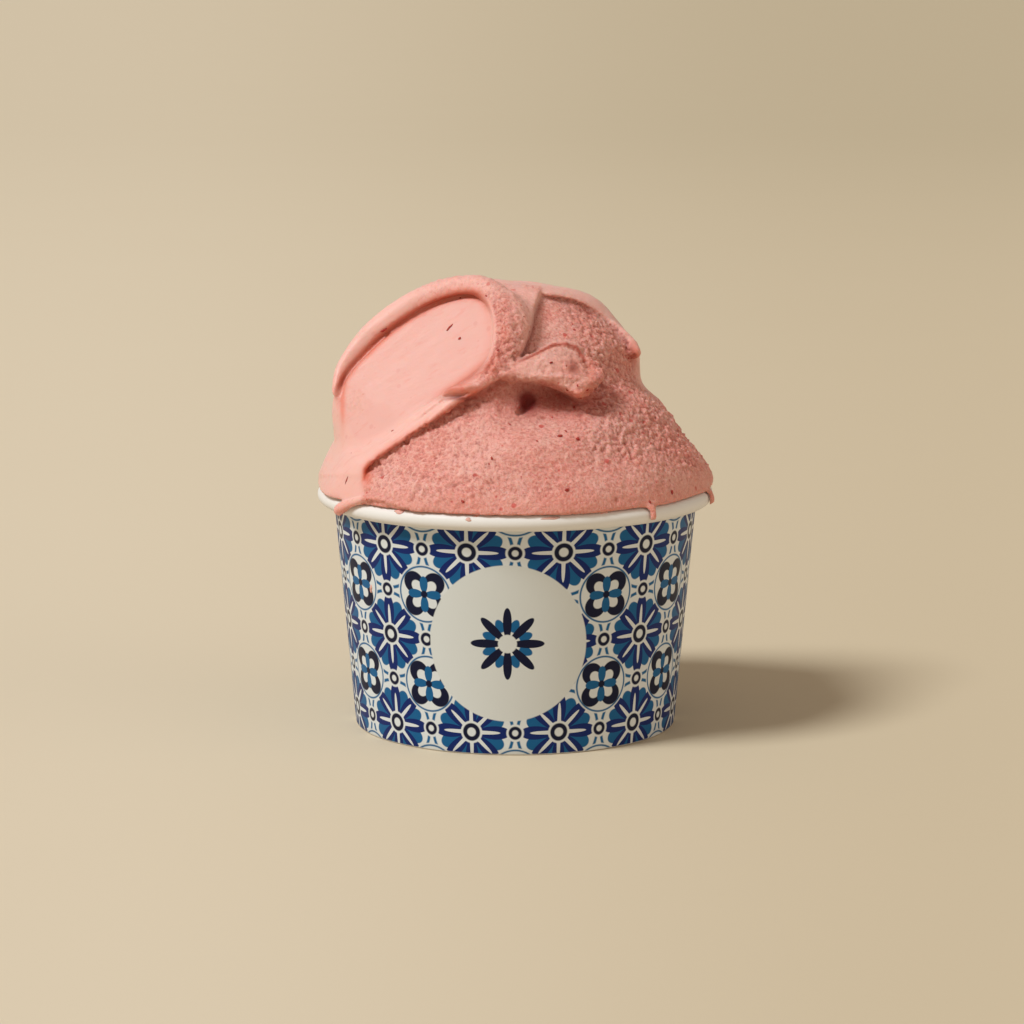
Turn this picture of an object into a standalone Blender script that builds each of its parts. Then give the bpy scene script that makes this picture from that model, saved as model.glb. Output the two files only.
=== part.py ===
"""Gelato heaped in a small paper cup.

Run with: blender --background --python part.py
Metres, +Z up, the origin in the middle of the cup's foot, the serving side towards -Y.

The cup is two turned pieces of paperboard: a tapered wall, curled outwards into a rolled rim and
folded in around the foot, and a base disc whose skirt is held in that fold. The gelato is one solid.
Its plug in the cup is turned, and its heap is sculpted: a blend of three rounded bodies, worked with
a flat spatula. The strokes are lines drawn on the heap as an eye sees it from one side: a height h
is then measured square to a sight line that drops by SIGHT_DROP. Distances to those lines and to
the bodies are blended on a regular grid, and OpenVDB, which comes with Blender, skins the grid.
"""

import math

import bmesh
import bpy
import numpy as np
import openvdb

MM = 0.001

# The cup, in millimetres.
CUP_HEIGHT = 58.0
FOOT_RADIUS = 38.75
SHOULDER_RADIUS = 43.6
SHOULDER_HEIGHT = 54.6
BOARD = 0.5
ROLL_RADIUS = 2.0
RIM_RADIUS = 47.5
ROLL_CENTRE_RADIUS = RIM_RADIUS - ROLL_RADIUS
ROLL_CENTRE_HEIGHT = CUP_HEIGHT - ROLL_RADIUS
GAP = 0.3
FOLD_TOP = 5.0
BASE_UNDERSIDE = 5.5
TURN_STEPS = 64
ROLL_SIDES = 12

# The heap's three bodies, in millimetres.
HEAP_FOOT_RADIUS = 47.9
HEAP_FOOT_HEIGHT = 57.0
HEAP_EDGE_HEIGHT = 57.8
HEAP_APEX_RISE = 48.3
HEAP_CUT_OFF = 98.0
SCOOP_CENTRE = (-8.0, 2.0, 78.0)
SCOOP_RADII = (34.1, 31.0, 27.7)
CAP_CENTRE = (1.5, 6.0, 84.3)
CAP_RADII = (28.0, 28.0, 21.1)
PLUG_RADIUS = 41.2
PLUG_LOW = 50.0
PLUG_HIGH = 62.0

# The lines of the spatula's strokes on the serving side, in millimetres: across x, height h.
SIGHT_DROP = math.radians(11.0)
SIGHT_HEIGHT = 30.0
CREST_HEIGHT = 77.0
FOLD_EDGE = ((-36.5, 19), (-34.9, 27), (-33.2, 31.6), (-20.5, 40.3), (-9, 47.4),
             (-0.8, 53), (2.8, 60.2), (5.1, 68.9), (7.5, 76))
CAP_EDGE = ((3, 73), (7, 71.6), (13.4, 70.8), (20.2, 68), (25.7, 63.1), (29.5, 56.3))
DISH_OUTLINE = ((-40.8, 44), (-40.2, 52), (-30.4, 61.6), (-19.2, 68.5), (-9.9, 70.2), (-5.6, 66),
                (-5.6, 57.4), (-10, 51.4), (-22, 44), (-36, 36))
FLAP_OUTLINE = ((-3, 51.4), (3.2, 55.3), (10, 58.3), (14.6, 57.4), (16.4, 52), (14.8, 47),
                (10, 48.4), (2, 50.6))

# The dish that the flat of the spatula left, and the heap's shoulder planed off behind it.
DISH_CENTRE = (-19.6, -18.35, 85.9)
DISH_FACING = (-0.452, -0.682, 0.575)
DISH_HOLLOW = 0.0015
DISH_BEND = 0.0112
DISH_BEND_START = -10.0
SHOULDER_FACING = (-0.601, -0.398, 0.693)
SHOULDER_OFFSET = 83.5

# Rolls and grooves pressed on to the heap: x, h, the roll's radius, how far it stands proud.
LIP_ROLL = ((-40.6, 38, 0.7, 0.8), (-41.7, 44, 1.3, 1.4), (-41.2, 52.5, 1.9, 2.2), (-32.5, 63.3, 2.5, 2.7),
            (-20.8, 70.9, 2.8, 2.9), (-8.6, 72.6, 3.4, 3.1), (-1.2, 66.5, 4.0, 3.2),
            (-1.4, 58, 4.0, 3.4), (-5.8, 51.4, 2.8, 3.0), (-14, 46.8, 1.1, 2.0))
CREASE_GROOVE = ((-0.8, 54, 0.6, 0.2), (2.4, 60.2, 1.0, 0.4), (4.6, 67.6, 0.9, 0.3), (5.6, 71.6, 0.4, 0.1))
FLAP_ROLL = ((-2.5, 51.4, 1.3, 0.6), (2.5, 52.6, 2.6, 2.2), (7.5, 52.6, 3.4, 3.6),
             (11.4, 51.2, 3.7, 4.6), (14.2, 49.0, 3.2, 4.8))
FLAP_CURL = ((14.6, 48.6, 1.9, 4.6), (16.6, 51.4, 1.2, 3.2), (16.4, 54.2, 0.9, 1.9),
             (14.6, 56.6, 0.6, 0.8))
FLAP_GROOVE = ((-0.6, 53.2, 0.4, 0.3), (3.2, 55.2, 0.6, 0.3), (10, 58.2, 0.6, 0.3),
               (14.9, 57.5, 0.5, 0.3), (16.6, 55.4, 0.4, 0.2))
CAP_BEAD = ((23.8, 65.6, 1.2, 0.9), (27.2, 61.6, 1.6, 1.4), (28.3, 58.6, 1.7, 1.9))
HOLLOW = ((1.2, 43.6, 0.8, -1.0), (2.8, 45.4, 1.4, -1.2), (4.6, 47.2, 1.0, -1.8))
HOLLOW_DEPTH = 2.4

# The rough gelato's hollow under the flap: its middle in the drawing, its spread and its depth.
RECESS_MIDDLE = (7.0, 45.5)
RECESS_SPREAD = (13.0, 8.0)
RECESS_DEPTH = 4.4

# How deep the rough gelato lies beside the fold and right of the crease, how thick the smooth layer
# is along the fold and how much thicker at the crease, and the same for the flap's root and its tip.
FOLD_DEPTH = 2.4
CREASE_DEPTH = 0.6
LAYER_THICKNESS = (0.6, 0.5)
FLAP_THICKNESS = (0.8, 3.2)
DISH_PAD = 6.0
DISH_MERGING = 6.0

# The strokes on the far side, drawn as an eye sees it from there.
BACK_FOLD_EDGE = ((-43, 46), (-33, 43.5), (-20, 45.5), (-6, 44.5), (10, 38), (26, 33), (41, 21))
BACK_DISH_CENTRE = (7.0, 58.0, 108.0)
BACK_DISH_RADIUS = 36.0
BACK_ROLL = ((-24, 56, 1.2, 0.7), (-17, 63.5, 2.4, 1.3), (-6, 68, 3.2, 1.8), (8, 67, 3.0, 1.7),
             (20, 60.5, 2.0, 1.2), (26, 52, 1.1, 0.7))

# Where the gelato runs down over the rim: degrees round the cup from +X, the run's radius and its drop.
RUNS = ((-48.5, 1.2, 1.2), (-14.0, 1.3, 1.6))

# The tongue that trails along the rim and runs down over it: degrees round the cup, its middle's
# distance from the axis, its height and its radius.
TONGUE = ((-126, 45.6, 60.0, 0.8), (-134, 46.4, 60.0, 0.9), (-139, 47.2, 59.2, 1.0),
          (-143.5, 47.9, 57.5, 1.2), (-147.5, 48.0, 55.6, 1.3), (-149.5, 47.8, 54.5, 1.2))

# Low lumps over the whole heap: their height, and each wave's radians a millimetre along x, y and z
# and its phase.
LUMPINESS = 0.35
LUMP_WAVES = ((0.19, 0.0, 0.0, 0.7), (0.0, 0.23, 0.11, 0.0), (-0.17, 0.13, 0.31, 0.0))

# How the heap is skinned: the grid's step, the smoothing, and the triangles left after thinning.
GRID_STEP = 1.0
SMOOTHING_PASSES = 2
HEAP_TRIANGLES = 6600


def blend(a, b, width):
    """The union of two distance fields, with a fillet of about the given width."""
    share = np.clip(0.5 + 0.5 * (b - a) / width, 0.0, 1.0)
    return b + (a - b) * share - width * share * (1.0 - share)


def keep(a, b, width):
    """What two distance fields have in common, with a rounded edge."""
    return -blend(-a, -b, width)


def ramp(value, start, end):
    """A smooth step from 0 at start to 1 at end."""
    t = np.clip((value - start) / (end - start), 0.0, 1.0)
    return t * t * (3.0 - 2.0 * t)


def fading(distance, reach, power):
    """Falls from 1 at the line to nothing beyond its reach, on the positive side only."""
    return np.exp(-((np.clip(distance, 0.0, None) / reach) ** power))


def curve(points, closed=False, steps=5):
    """Points along a smooth curve through the given ones."""
    given = np.array(points, dtype=float)
    if closed:
        given = np.vstack([given[-1], given, given[:2]])
    else:
        given = np.vstack([2 * given[0] - given[1], given, 2 * given[-1] - given[-2]])
    found = []
    for a, b, c, d in zip(given, given[1:], given[2:], given[3:]):
        for t in np.arange(steps) / steps:
            bend = 2 * b + (c - a) * t + (2 * a - 5 * b + 4 * c - d) * t**2
            found.append((bend + (3 * b - a - 3 * c + d) * t**3) / 2)
    if not closed:
        found.append(given[-2])
    return np.array(found)


def nearest_on(places, start, end):
    """How far along the segment each place's nearest point is, 0 to 1, and the offset to it."""
    run = end - start
    t = np.clip((places - start) @ run / (run @ run), 0.0, 1.0)
    return t, places - start - t[:, None] * run


def side_of(places, line):
    """Signed distance to an open line, positive on the right of one who walks it, and how far along."""
    first = line[0] + (line[0] - line[1]) * 200.0
    last = line[-1] + (line[-1] - line[-2]) * 200.0
    line = np.vstack([first, line, last])
    distance = np.full(len(places), np.inf)
    signed = np.zeros(len(places))
    along = np.zeros(len(places))
    for i, (start, end) in enumerate(zip(line, line[1:])):
        t, offset = nearest_on(places, start, end)
        length = np.hypot(offset[:, 0], offset[:, 1])
        nearer = length < distance - 1e-9
        run = end - start
        turn = offset[nearer, 0] * run[1] - offset[nearer, 1] * run[0]
        distance[nearer] = length[nearer]
        signed[nearer] = np.where(turn > 0, 1.0, -1.0) * length[nearer]
        along[nearer] = (i - 1 + t[nearer]) / (len(line) - 3)
    return signed, np.clip(along, 0.0, 1.0)


def outside_of(places, outline):
    """Signed distance to a closed outline, negative inside."""
    distance = np.full(len(places), np.inf)
    inside = np.zeros(len(places), dtype=bool)
    x, h = places.T
    for start, end in zip(outline, np.roll(outline, -1, axis=0)):
        offset = nearest_on(places, start, end)[1]
        distance = np.minimum(distance, np.hypot(offset[:, 0], offset[:, 1]))
        rise = end[1] - start[1]
        if rise:
            crossing = start[0] + (end[0] - start[0]) * (h - start[1]) / rise
            inside ^= ((start[1] > h) != (end[1] > h)) & (x < crossing)
    return np.where(inside, -distance, distance)


def ellipsoid(points, centre, radii):
    """Distance to an ellipsoid, close to true near its surface."""
    offset = points - np.array(centre)
    radii = np.array(radii)
    scaled = np.linalg.norm(offset / radii, axis=1)
    return scaled * (scaled - 1.0) / np.maximum(np.linalg.norm(offset / radii**2, axis=1), 1e-9)


def roll(points, path):
    """Distance to a round roll whose rows are x, y, z and radius, 9 mm at the most."""
    far = 9.0
    near_low = path[:, :3].min(axis=0) - far - path[:, 3].max()
    near_high = path[:, :3].max(axis=0) + far + path[:, 3].max()
    near = ((points > near_low) & (points < near_high)).all(axis=1)
    distance = np.full(near.sum(), far)
    for start, end in zip(path, path[1:]):
        t, offset = nearest_on(points[near], start[:3], end[:3])
        radius = start[3] + (end[3] - start[3]) * t
        distance = np.minimum(distance, np.linalg.norm(offset, axis=1) - radius)
    found = np.full(len(points), far)
    found[near] = distance
    return found


def heap_body(points):
    """The unworked heap: a mound on the rim, a big scoop at the left and a cap behind it."""
    x, y, z = points.T
    rise = np.clip((z - HEAP_FOOT_HEIGHT) / HEAP_APEX_RISE, 0.0, 1.0)
    radius = HEAP_FOOT_RADIUS * (1.0 - rise**1.5)
    slope = HEAP_FOOT_RADIUS * 1.5 * np.sqrt(rise) / HEAP_APEX_RISE
    mound = (np.hypot(x, y) - radius) / np.hypot(1.0, slope)
    mound = keep(mound, z - HEAP_CUT_OFF, 8.0)
    scoop = ellipsoid(points, SCOOP_CENTRE, SCOOP_RADII)
    scoop = keep(scoop, points @ np.array(SHOULDER_FACING) - SHOULDER_OFFSET, 4.0)
    heap = blend(blend(mound, scoop, 3.0), ellipsoid(points, CAP_CENTRE, CAP_RADII), 3.0)
    first, second, third = (np.sin(points @ np.array(wave[:3]) + wave[3]) for wave in LUMP_WAVES)
    return heap + LUMPINESS * (first * second + third)


def sight(side):
    """The direction an eye looks in: side is 1 for the serving side, -1 for the far one."""
    return np.array([0.0, side * math.cos(SIGHT_DROP), -math.sin(SIGHT_DROP)])


def drawn(points, side=1):
    """Where points lie in the drawing of a side: x to its right, and the height h."""
    x, y, z = points.T
    height = (z - SIGHT_HEIGHT) * math.cos(SIGHT_DROP) + side * y * math.sin(SIGHT_DROP)
    return np.stack([side * x, height], axis=1)


def undrawn(places, side=1):
    """The points in the upright plane through the cup's axis that a drawing's places stand for."""
    x, h = places.T
    drop = side * h * math.sin(SIGHT_DROP)
    return np.stack([side * x, drop, SIGHT_HEIGHT + h * math.cos(SIGHT_DROP)], axis=1)


def heap_normals(points):
    """The heap's outward direction at each point."""
    step = 0.05
    here = heap_body(points)
    slope = np.stack([heap_body(points + step * axis) - here for axis in np.eye(3)], axis=1)
    return slope / np.linalg.norm(slope, axis=1, keepdims=True)


def pressed_on_heap(path, side=1):
    """A drawn roll brought on to the heap's surface, as rows of x, y, z and radius."""
    x, h, radius, proud = np.array(path, dtype=float).T
    points = undrawn(np.stack([x, h], axis=1), side) - 90.0 * sight(side)
    for _ in range(200):
        points = points + 0.7 * heap_body(points)[:, None] * sight(side)
    points += heap_normals(points) * (proud - radius)[:, None]
    return curve(np.column_stack([points, radius]))


def dish_height(points):
    """Height above the dish: a shallow hollow that bends down with the heap below it."""
    facing = np.array(DISH_FACING)
    across = np.cross((0.0, 0.0, 1.0), facing)
    across /= np.linalg.norm(across)
    offset = points - np.array(DISH_CENTRE)
    s = offset @ across
    t = offset @ np.cross(facing, across)
    bend = DISH_BEND * np.clip(DISH_BEND_START - t, 0.0, None) ** 2
    return offset @ facing - DISH_HOLLOW * (s**2 + t**2) + bend, t


def pressed_on_dish(path):
    """A drawn roll brought on to the plane of the dish, as rows of x, y, z and radius."""
    x, h, radius, proud = np.array(path, dtype=float).T
    facing = np.array(DISH_FACING)
    points = undrawn(np.stack([x, h], axis=1))
    reach = (np.array(DISH_CENTRE) - points) @ facing / (sight(1) @ facing)
    points += reach[:, None] * sight(1) + facing * (proud - radius)[:, None]
    return curve(np.column_stack([points, radius]))


def serving_side(points, heap):
    """The heap with the strokes of its serving side, which fade out towards the far side."""
    places = drawn(points)
    x, h = places.T
    near = ramp(points[:, 1], 10.0, -6.0) * ramp(h, CREST_HEIGHT, CREST_HEIGHT - 8.0)
    fold, fold_along = side_of(places, curve(FOLD_EDGE))

    # The rough gelato lies deeper beside the fold, deeper still under the flap, and right of the crease.
    beside_fold = FOLD_DEPTH * fading(fold, 10.0, 1.4) * ramp(fold_along, 0.08, 0.22)
    spread = np.hypot((x - RECESS_MIDDLE[0]) / RECESS_SPREAD[0], (h - RECESS_MIDDLE[1]) / RECESS_SPREAD[1])
    under_flap = RECESS_DEPTH * np.exp(-spread**2.4) * ramp(fold, 0.0, 3.0)
    right_of_crease = CREASE_DEPTH * ramp(x, 1.0, 6.0) * ramp(h, 49.0, 57.0)
    deeper = keep(keep(beside_fold, under_flap, 0.6), right_of_crease, 0.6)
    rough = heap + near * deeper

    # The smooth cap behind, with its edge standing proud of the rough gelato.
    cap = keep(heap, side_of(places, curve(CAP_EDGE))[0], 1.6)
    worked = np.where((h > 48.0) & (x > 0.0), blend(rough, cap, 0.4), rough)

    # The smooth layer at the left, thick and beaded along the fold, thicker still at the crease.
    thin, thicker = LAYER_THICKNESS
    thickness = thin + thicker * ramp(fold_along, 0.5, 0.75) * fading(-fold, 12.0, 2.0)
    layer = keep(heap - thickness * near, fold, 1.8)
    bead_radius = 0.3 + 1.15 * ramp(fold_along, 0.12, 0.3) * ramp(fold_along, 0.62, 0.5)
    bead = np.hypot(fold + 1.2, heap + 0.1) - bead_radius
    worked = blend(worked, blend(layer, bead, 0.8), 0.4)

    # The dish and the lip pushed up around it, which merge with the heap at the lower left.
    height, up_dish = dish_height(points)
    outline = outside_of(places, curve(DISH_OUTLINE, closed=True))
    merging = DISH_MERGING * ramp(up_dish, -2.0, -14.0)
    floor = keep(keep(height, outline - 1.0, 0.8), -height - DISH_PAD, 0.8)
    worked = blend(worked, floor, 1.0 + merging)
    lip = roll(points, pressed_on_dish(LIP_ROLL))
    worked = blend(worked, lip, 4.5)
    scooped = keep(keep(-height, outline, 0.8), -lip, 0.6)
    worked = keep(worked, -scooped, 0.8 + merging)
    worked = keep(worked, -roll(points, pressed_on_heap(CREASE_GROOVE)), 1.6)

    # The flap that hangs over the rough gelato, its groove, and the hollow beneath it.
    root, tip = FLAP_THICKNESS
    thickness = root + tip * ramp(h, 58.0, 48.0) * ramp(x, -4.0, 9.0)
    flap = keep(heap - thickness, outside_of(places, curve(FLAP_OUTLINE, closed=True)), 2.6)
    flap = blend(flap, roll(points, pressed_on_heap(FLAP_ROLL)), 2.0)
    flap = blend(flap, roll(points, pressed_on_heap(FLAP_CURL)), 0.8)
    worked = blend(worked, np.where(points[:, 1] < 0.0, flap, 9.0), 0.8)
    worked = keep(worked, -roll(points, pressed_on_heap(FLAP_GROOVE)), 0.6)
    worked = blend(worked, roll(points, pressed_on_heap(CAP_BEAD)), 1.0)
    hollow = pressed_on_heap(HOLLOW)
    inward = hollow + np.append(HOLLOW_DEPTH * sight(1), 0.0)
    hollow = blend(roll(points, hollow), roll(points, inward), 1.0)
    return keep(worked, -hollow, 0.8)


def far_side(points, heap):
    """The heap with one broad stroke across its far side."""
    places = drawn(points, side=-1)
    near = ramp(points[:, 1], -2.0, 10.0)
    fold = side_of(places, curve(BACK_FOLD_EDGE))[0]
    rough = heap + FOLD_DEPTH * near * fading(fold, 12.0, 1.5)
    layer = keep(heap - LAYER_THICKNESS[0] * near, fold, 2.2)
    worked = blend(rough, layer, 1.2)
    worked = blend(worked, roll(points, pressed_on_heap(BACK_ROLL, side=-1)), 1.8)
    press = BACK_DISH_RADIUS - np.linalg.norm(points - np.array(BACK_DISH_CENTRE), axis=1)
    return keep(worked, press, 1.5)


def runs_over_rim(points):
    """The gelato that has run down over the rim."""
    turn, reach, height, radius = np.array(TONGUE, dtype=float).T
    turn = np.radians(turn)
    found = roll(points, curve(np.stack([reach * np.cos(turn), reach * np.sin(turn), height, radius], axis=1)))
    for degrees, radius, drop in RUNS:
        out = np.array([math.cos(math.radians(degrees)), math.sin(math.radians(degrees)), 0.0])
        reaches = (RIM_RADIUS - 4.0, RIM_RADIUS - 0.8, RIM_RADIUS, RIM_RADIUS - 0.3)
        heights = (CUP_HEIGHT + 0.6, CUP_HEIGHT - 0.4, ROLL_CENTRE_HEIGHT, CUP_HEIGHT - drop)
        path = [(*(reach * out[:2]), height, radius) for reach, height in zip(reaches, heights)]
        found = np.minimum(found, roll(points, curve(path)))
    return found


def heap_field(points, clearance):
    """Signed distance to the worked heap, whose core reaches down into the cup."""
    x, y, z = points.T
    heap = heap_body(points)
    far = ramp(y, 0.0, 8.0)
    worked = (1.0 - far) * serving_side(points, heap) + far * far_side(points, heap)
    worked = keep(worked, HEAP_EDGE_HEIGHT - z, 0.8)
    worked = blend(worked, runs_over_rim(points), 1.2)
    core = np.maximum(np.hypot(x, y) - PLUG_RADIUS, np.maximum(PLUG_LOW - z, z - PLUG_HIGH))
    worked = blend(worked, core, 0.3)
    roll_distance = np.hypot(np.hypot(x, y) - ROLL_CENTRE_RADIUS, z - ROLL_CENTRE_HEIGHT) - ROLL_RADIUS
    return keep(worked, clearance - roll_distance, 0.7)


def heap_skin(step, clearance):
    """The heap's vertices, in millimetres, and its four-sided faces, skinned by OpenVDB."""
    reach = RIM_RADIUS + 4.0
    low = np.array([-reach, -reach, PLUG_LOW - 3.0 * step])
    high = np.array([reach, reach, 112.0])
    counts = np.ceil((high - low) / step).astype(int)
    axes = [low[i] + step * np.arange(counts[i]) for i in range(3)]
    field = np.empty(counts)
    for i, x in enumerate(axes[0]):
        layer = np.stack(np.meshgrid([x], axes[1], axes[2], indexing="ij"), axis=-1)
        field[i] = heap_field(layer.reshape(-1, 3), clearance).reshape(counts[1:])
    grid = openvdb.FloatGrid(background=9.0)
    grid.copyFromArray(field)
    vertices, faces = grid.convertToQuads(isovalue=0.0)
    return low + step * vertices, faces


def drop_bubbles(mesh):
    """Keeps a mesh's outer skin and drops the skins of any air bubbles shut inside it."""
    sculpt = bmesh.new()
    sculpt.from_mesh(mesh)
    unseen = set(sculpt.verts)
    skins = []
    while unseen:
        skin = set()
        edge_of_skin = [unseen.pop()]
        while edge_of_skin:
            vertex = edge_of_skin.pop()
            skin.add(vertex)
            for edge in vertex.link_edges:
                other = edge.other_vert(vertex)
                if other in unseen:
                    unseen.remove(other)
                    edge_of_skin.append(other)
        skins.append(skin)
    skins.sort(key=len)
    for skin in skins[:-1]:
        bmesh.ops.delete(sculpt, geom=list(skin), context="VERTS")
    sculpt.to_mesh(mesh)
    sculpt.free()


def clear_scene():
    """Removes whatever the file opened with."""
    for scene_object in list(bpy.data.objects):
        bpy.data.objects.remove(scene_object, do_unlink=True)


def make_collection(name, hidden=False):
    """A collection in the scene."""
    collection = bpy.data.collections.new(name)
    collection.hide_render = hidden
    bpy.context.scene.collection.children.link(collection)
    return collection


def make_material(name, colour, roughness):
    """A plain Principled material; colour is linear red, green and blue."""
    material = bpy.data.materials.new(name)
    material.use_nodes = True
    shader = material.node_tree.nodes["Principled BSDF"]
    shader.inputs["Base Color"].default_value = (*colour, 1.0)
    shader.inputs["Roughness"].default_value = roughness
    shader.inputs["Metallic"].default_value = 0.0
    return material


def make_turned(name, profile, collection, closed=False):
    """A piece turned about Z from points of radius and height in millimetres, outer side going down."""
    mesh = bpy.data.meshes.new(name)
    count = len(profile)
    edges = [(i, i + 1) for i in range(count - 1)]
    if closed:
        edges.append((count - 1, 0))
    mesh.from_pydata([(radius * MM, 0.0, height * MM) for radius, height in profile], edges, [])
    piece = bpy.data.objects.new(name, mesh)
    collection.objects.link(piece)
    screw = piece.modifiers.new("turn", "SCREW")
    screw.axis = "Z"
    screw.steps = TURN_STEPS
    screw.render_steps = TURN_STEPS
    screw.use_merge_vertices = True
    screw.merge_threshold = 0.00001
    screw.use_smooth_shade = True
    return piece


def wall_radius(height):
    """The outside radius of the cup's wall at a height below the rim's roll."""
    return FOOT_RADIUS + (SHOULDER_RADIUS - FOOT_RADIUS) * height / SHOULDER_HEIGHT


def make_cup_wall(collection):
    """The tapered wall: its rolled rim, the board itself and the fold around the foot."""
    meeting = math.atan2(SHOULDER_HEIGHT - ROLL_CENTRE_HEIGHT, SHOULDER_RADIUS - ROLL_CENTRE_RADIUS)
    angles = np.linspace(math.pi, meeting, ROLL_SIDES)
    rim = [(ROLL_CENTRE_RADIUS + ROLL_RADIUS * math.cos(angle),
            ROLL_CENTRE_HEIGHT + ROLL_RADIUS * math.sin(angle)) for angle in angles]
    slot_width = BOARD + 2.0 * GAP
    slot_floor = 2.0 * BOARD
    foot = [
        (wall_radius(0.4), 0.4),
        (FOOT_RADIUS - 0.3, 0.0),
        (FOOT_RADIUS - 2.0 * BOARD - slot_width + 0.3, 0.0),
        (wall_radius(0.4) - 2.0 * BOARD - slot_width, 0.4),
        (wall_radius(FOLD_TOP) - 2.0 * BOARD - slot_width, FOLD_TOP),
        (wall_radius(FOLD_TOP) - BOARD - slot_width, FOLD_TOP),
        (wall_radius(slot_floor) - BOARD - slot_width, slot_floor),
        (wall_radius(slot_floor) - BOARD, slot_floor),
    ]
    inner_top = (SHOULDER_RADIUS - BOARD, SHOULDER_HEIGHT)
    profile = rim + [(SHOULDER_RADIUS, SHOULDER_HEIGHT)] + foot + [inner_top]
    return make_turned("cup_wall", profile, collection, closed=True)


def make_cup_base(collection):
    """The base disc, whose skirt hangs down into the wall's fold."""
    top = BASE_UNDERSIDE + BOARD
    hem = 2.0 * BOARD + GAP
    outer = -BOARD - GAP
    inner = outer - BOARD
    profile = [
        (0.0, top),
        (wall_radius(top) + outer, top),
        (wall_radius(hem) + outer, hem),
        (wall_radius(hem) + inner, hem),
        (wall_radius(BASE_UNDERSIDE) + inner - GAP / 2, BASE_UNDERSIDE),
        (0.0, BASE_UNDERSIDE),
    ]
    return make_turned("cup_base", profile, collection)


def make_gelato(collection, helpers):
    """The gelato: a turned plug that fills the cup, joined to the sculpted heap."""
    vertices, faces = heap_skin(GRID_STEP, clearance=0.6)
    heap = bpy.data.meshes.new("gelato")
    heap.from_pydata((vertices * MM).tolist(), [], faces.tolist())
    drop_bubbles(heap)
    heap.shade_smooth()
    gelato = bpy.data.objects.new("gelato", heap)
    collection.objects.link(gelato)
    smooth = gelato.modifiers.new("smooth", "SMOOTH")
    smooth.factor = 0.5
    smooth.iterations = SMOOTHING_PASSES
    thin = gelato.modifiers.new("thin", "DECIMATE")
    thin.ratio = HEAP_TRIANGLES / (2 * len(faces))

    low = BASE_UNDERSIDE + BOARD + GAP
    outer = -BOARD - GAP
    top = CUP_HEIGHT + 1.0
    profile = [
        (0.0, top),
        (wall_radius(SHOULDER_HEIGHT) + outer, top),
        (wall_radius(SHOULDER_HEIGHT) + outer, SHOULDER_HEIGHT),
        (wall_radius(low) + outer, low),
        (0.0, low),
    ]
    plug = make_turned("gelato_plug", profile, helpers)
    plug.hide_render = True
    plug.display_type = "WIRE"
    join = gelato.modifiers.new("join", "BOOLEAN")
    join.operation = "UNION"
    join.solver = "EXACT"
    join.object = plug
    return gelato


def main():
    clear_scene()
    parts = make_collection("gelato_cup")
    helpers = make_collection("cutters", hidden=True)
    board = make_material("paperboard", (0.70, 0.67, 0.60), 0.55)
    white = make_material("base_board", (0.72, 0.70, 0.65), 0.60)
    pink = make_material("strawberry_gelato", (0.79, 0.36, 0.28), 0.45)
    make_cup_wall(parts).data.materials.append(board)
    make_cup_base(parts).data.materials.append(white)
    make_gelato(parts, helpers).data.materials.append(pink)


if __name__ == "__main__":
    main()
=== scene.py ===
"""Cup of gelato: the finished look of a small printed paper cup heaped with strawberry gelato.

Lengths in the sculpting code are in millimetres, and everything handed to Blender is in metres.
"""

import logging
import math
from collections.abc import Callable, Sequence
from dataclasses import dataclass
from enum import Enum
from functools import cached_property

import bmesh
import bpy
import numpy as np
import openvdb
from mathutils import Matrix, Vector


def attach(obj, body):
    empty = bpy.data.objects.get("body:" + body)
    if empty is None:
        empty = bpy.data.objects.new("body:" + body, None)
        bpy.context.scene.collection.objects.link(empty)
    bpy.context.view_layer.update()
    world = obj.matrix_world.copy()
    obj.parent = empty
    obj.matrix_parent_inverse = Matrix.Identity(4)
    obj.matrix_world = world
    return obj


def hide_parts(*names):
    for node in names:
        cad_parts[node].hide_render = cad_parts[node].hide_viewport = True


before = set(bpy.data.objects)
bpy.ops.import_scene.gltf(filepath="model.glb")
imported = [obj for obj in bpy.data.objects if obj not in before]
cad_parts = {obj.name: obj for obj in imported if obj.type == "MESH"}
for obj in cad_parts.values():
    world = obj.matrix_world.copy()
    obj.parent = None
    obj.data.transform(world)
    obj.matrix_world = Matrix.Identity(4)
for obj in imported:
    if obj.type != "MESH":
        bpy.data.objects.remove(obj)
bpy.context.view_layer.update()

LOG = logging.getLogger("gelato")
MM = 0.001
Colour = tuple[float, float, float]
Line = tuple[tuple[float, ...], ...]
Shape = tuple[np.ndarray, list[tuple[int, ...]]]


class Slot(Enum):
    """The record's material slots, which are passed along with the new pieces."""

    PRINTED = "printed_paperboard"
    GELATO = "strawberry_gelato"


# ---------------------------------------------------------------------------------------------
# Distance fields


def blend(a: np.ndarray, b: np.ndarray, width: float | np.ndarray) -> np.ndarray:
    """Join two distance fields with a fillet.

    Args:
        a: Distances to the first body.
        b: Distances to the second body.
        width: The fillet's width.

    Returns:
        Distances to both bodies together.
    """
    share = np.clip(0.5 + 0.5 * (b - a) / width, 0.0, 1.0)
    return b + (a - b) * share - width * share * (1.0 - share)


def keep(a: np.ndarray, b: np.ndarray, width: float | np.ndarray) -> np.ndarray:
    """Keep what two distance fields have in common, with a rounded edge.

    Args:
        a: Distances to the first body.
        b: Distances to the second body.
        width: The rounding's width.

    Returns:
        Distances to the common part.
    """
    return -blend(-a, -b, width)


def ramp(value: np.ndarray, start: float, end: float) -> np.ndarray:
    """Step smoothly from 0 to 1.

    Args:
        value: Where on the ramp.
        start: Where the ramp is 0.
        end: Where the ramp is 1.

    Returns:
        Values from 0 to 1.
    """
    t = np.clip((value - start) / (end - start), 0.0, 1.0)
    return t * t * (3.0 - 2.0 * t)


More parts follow.
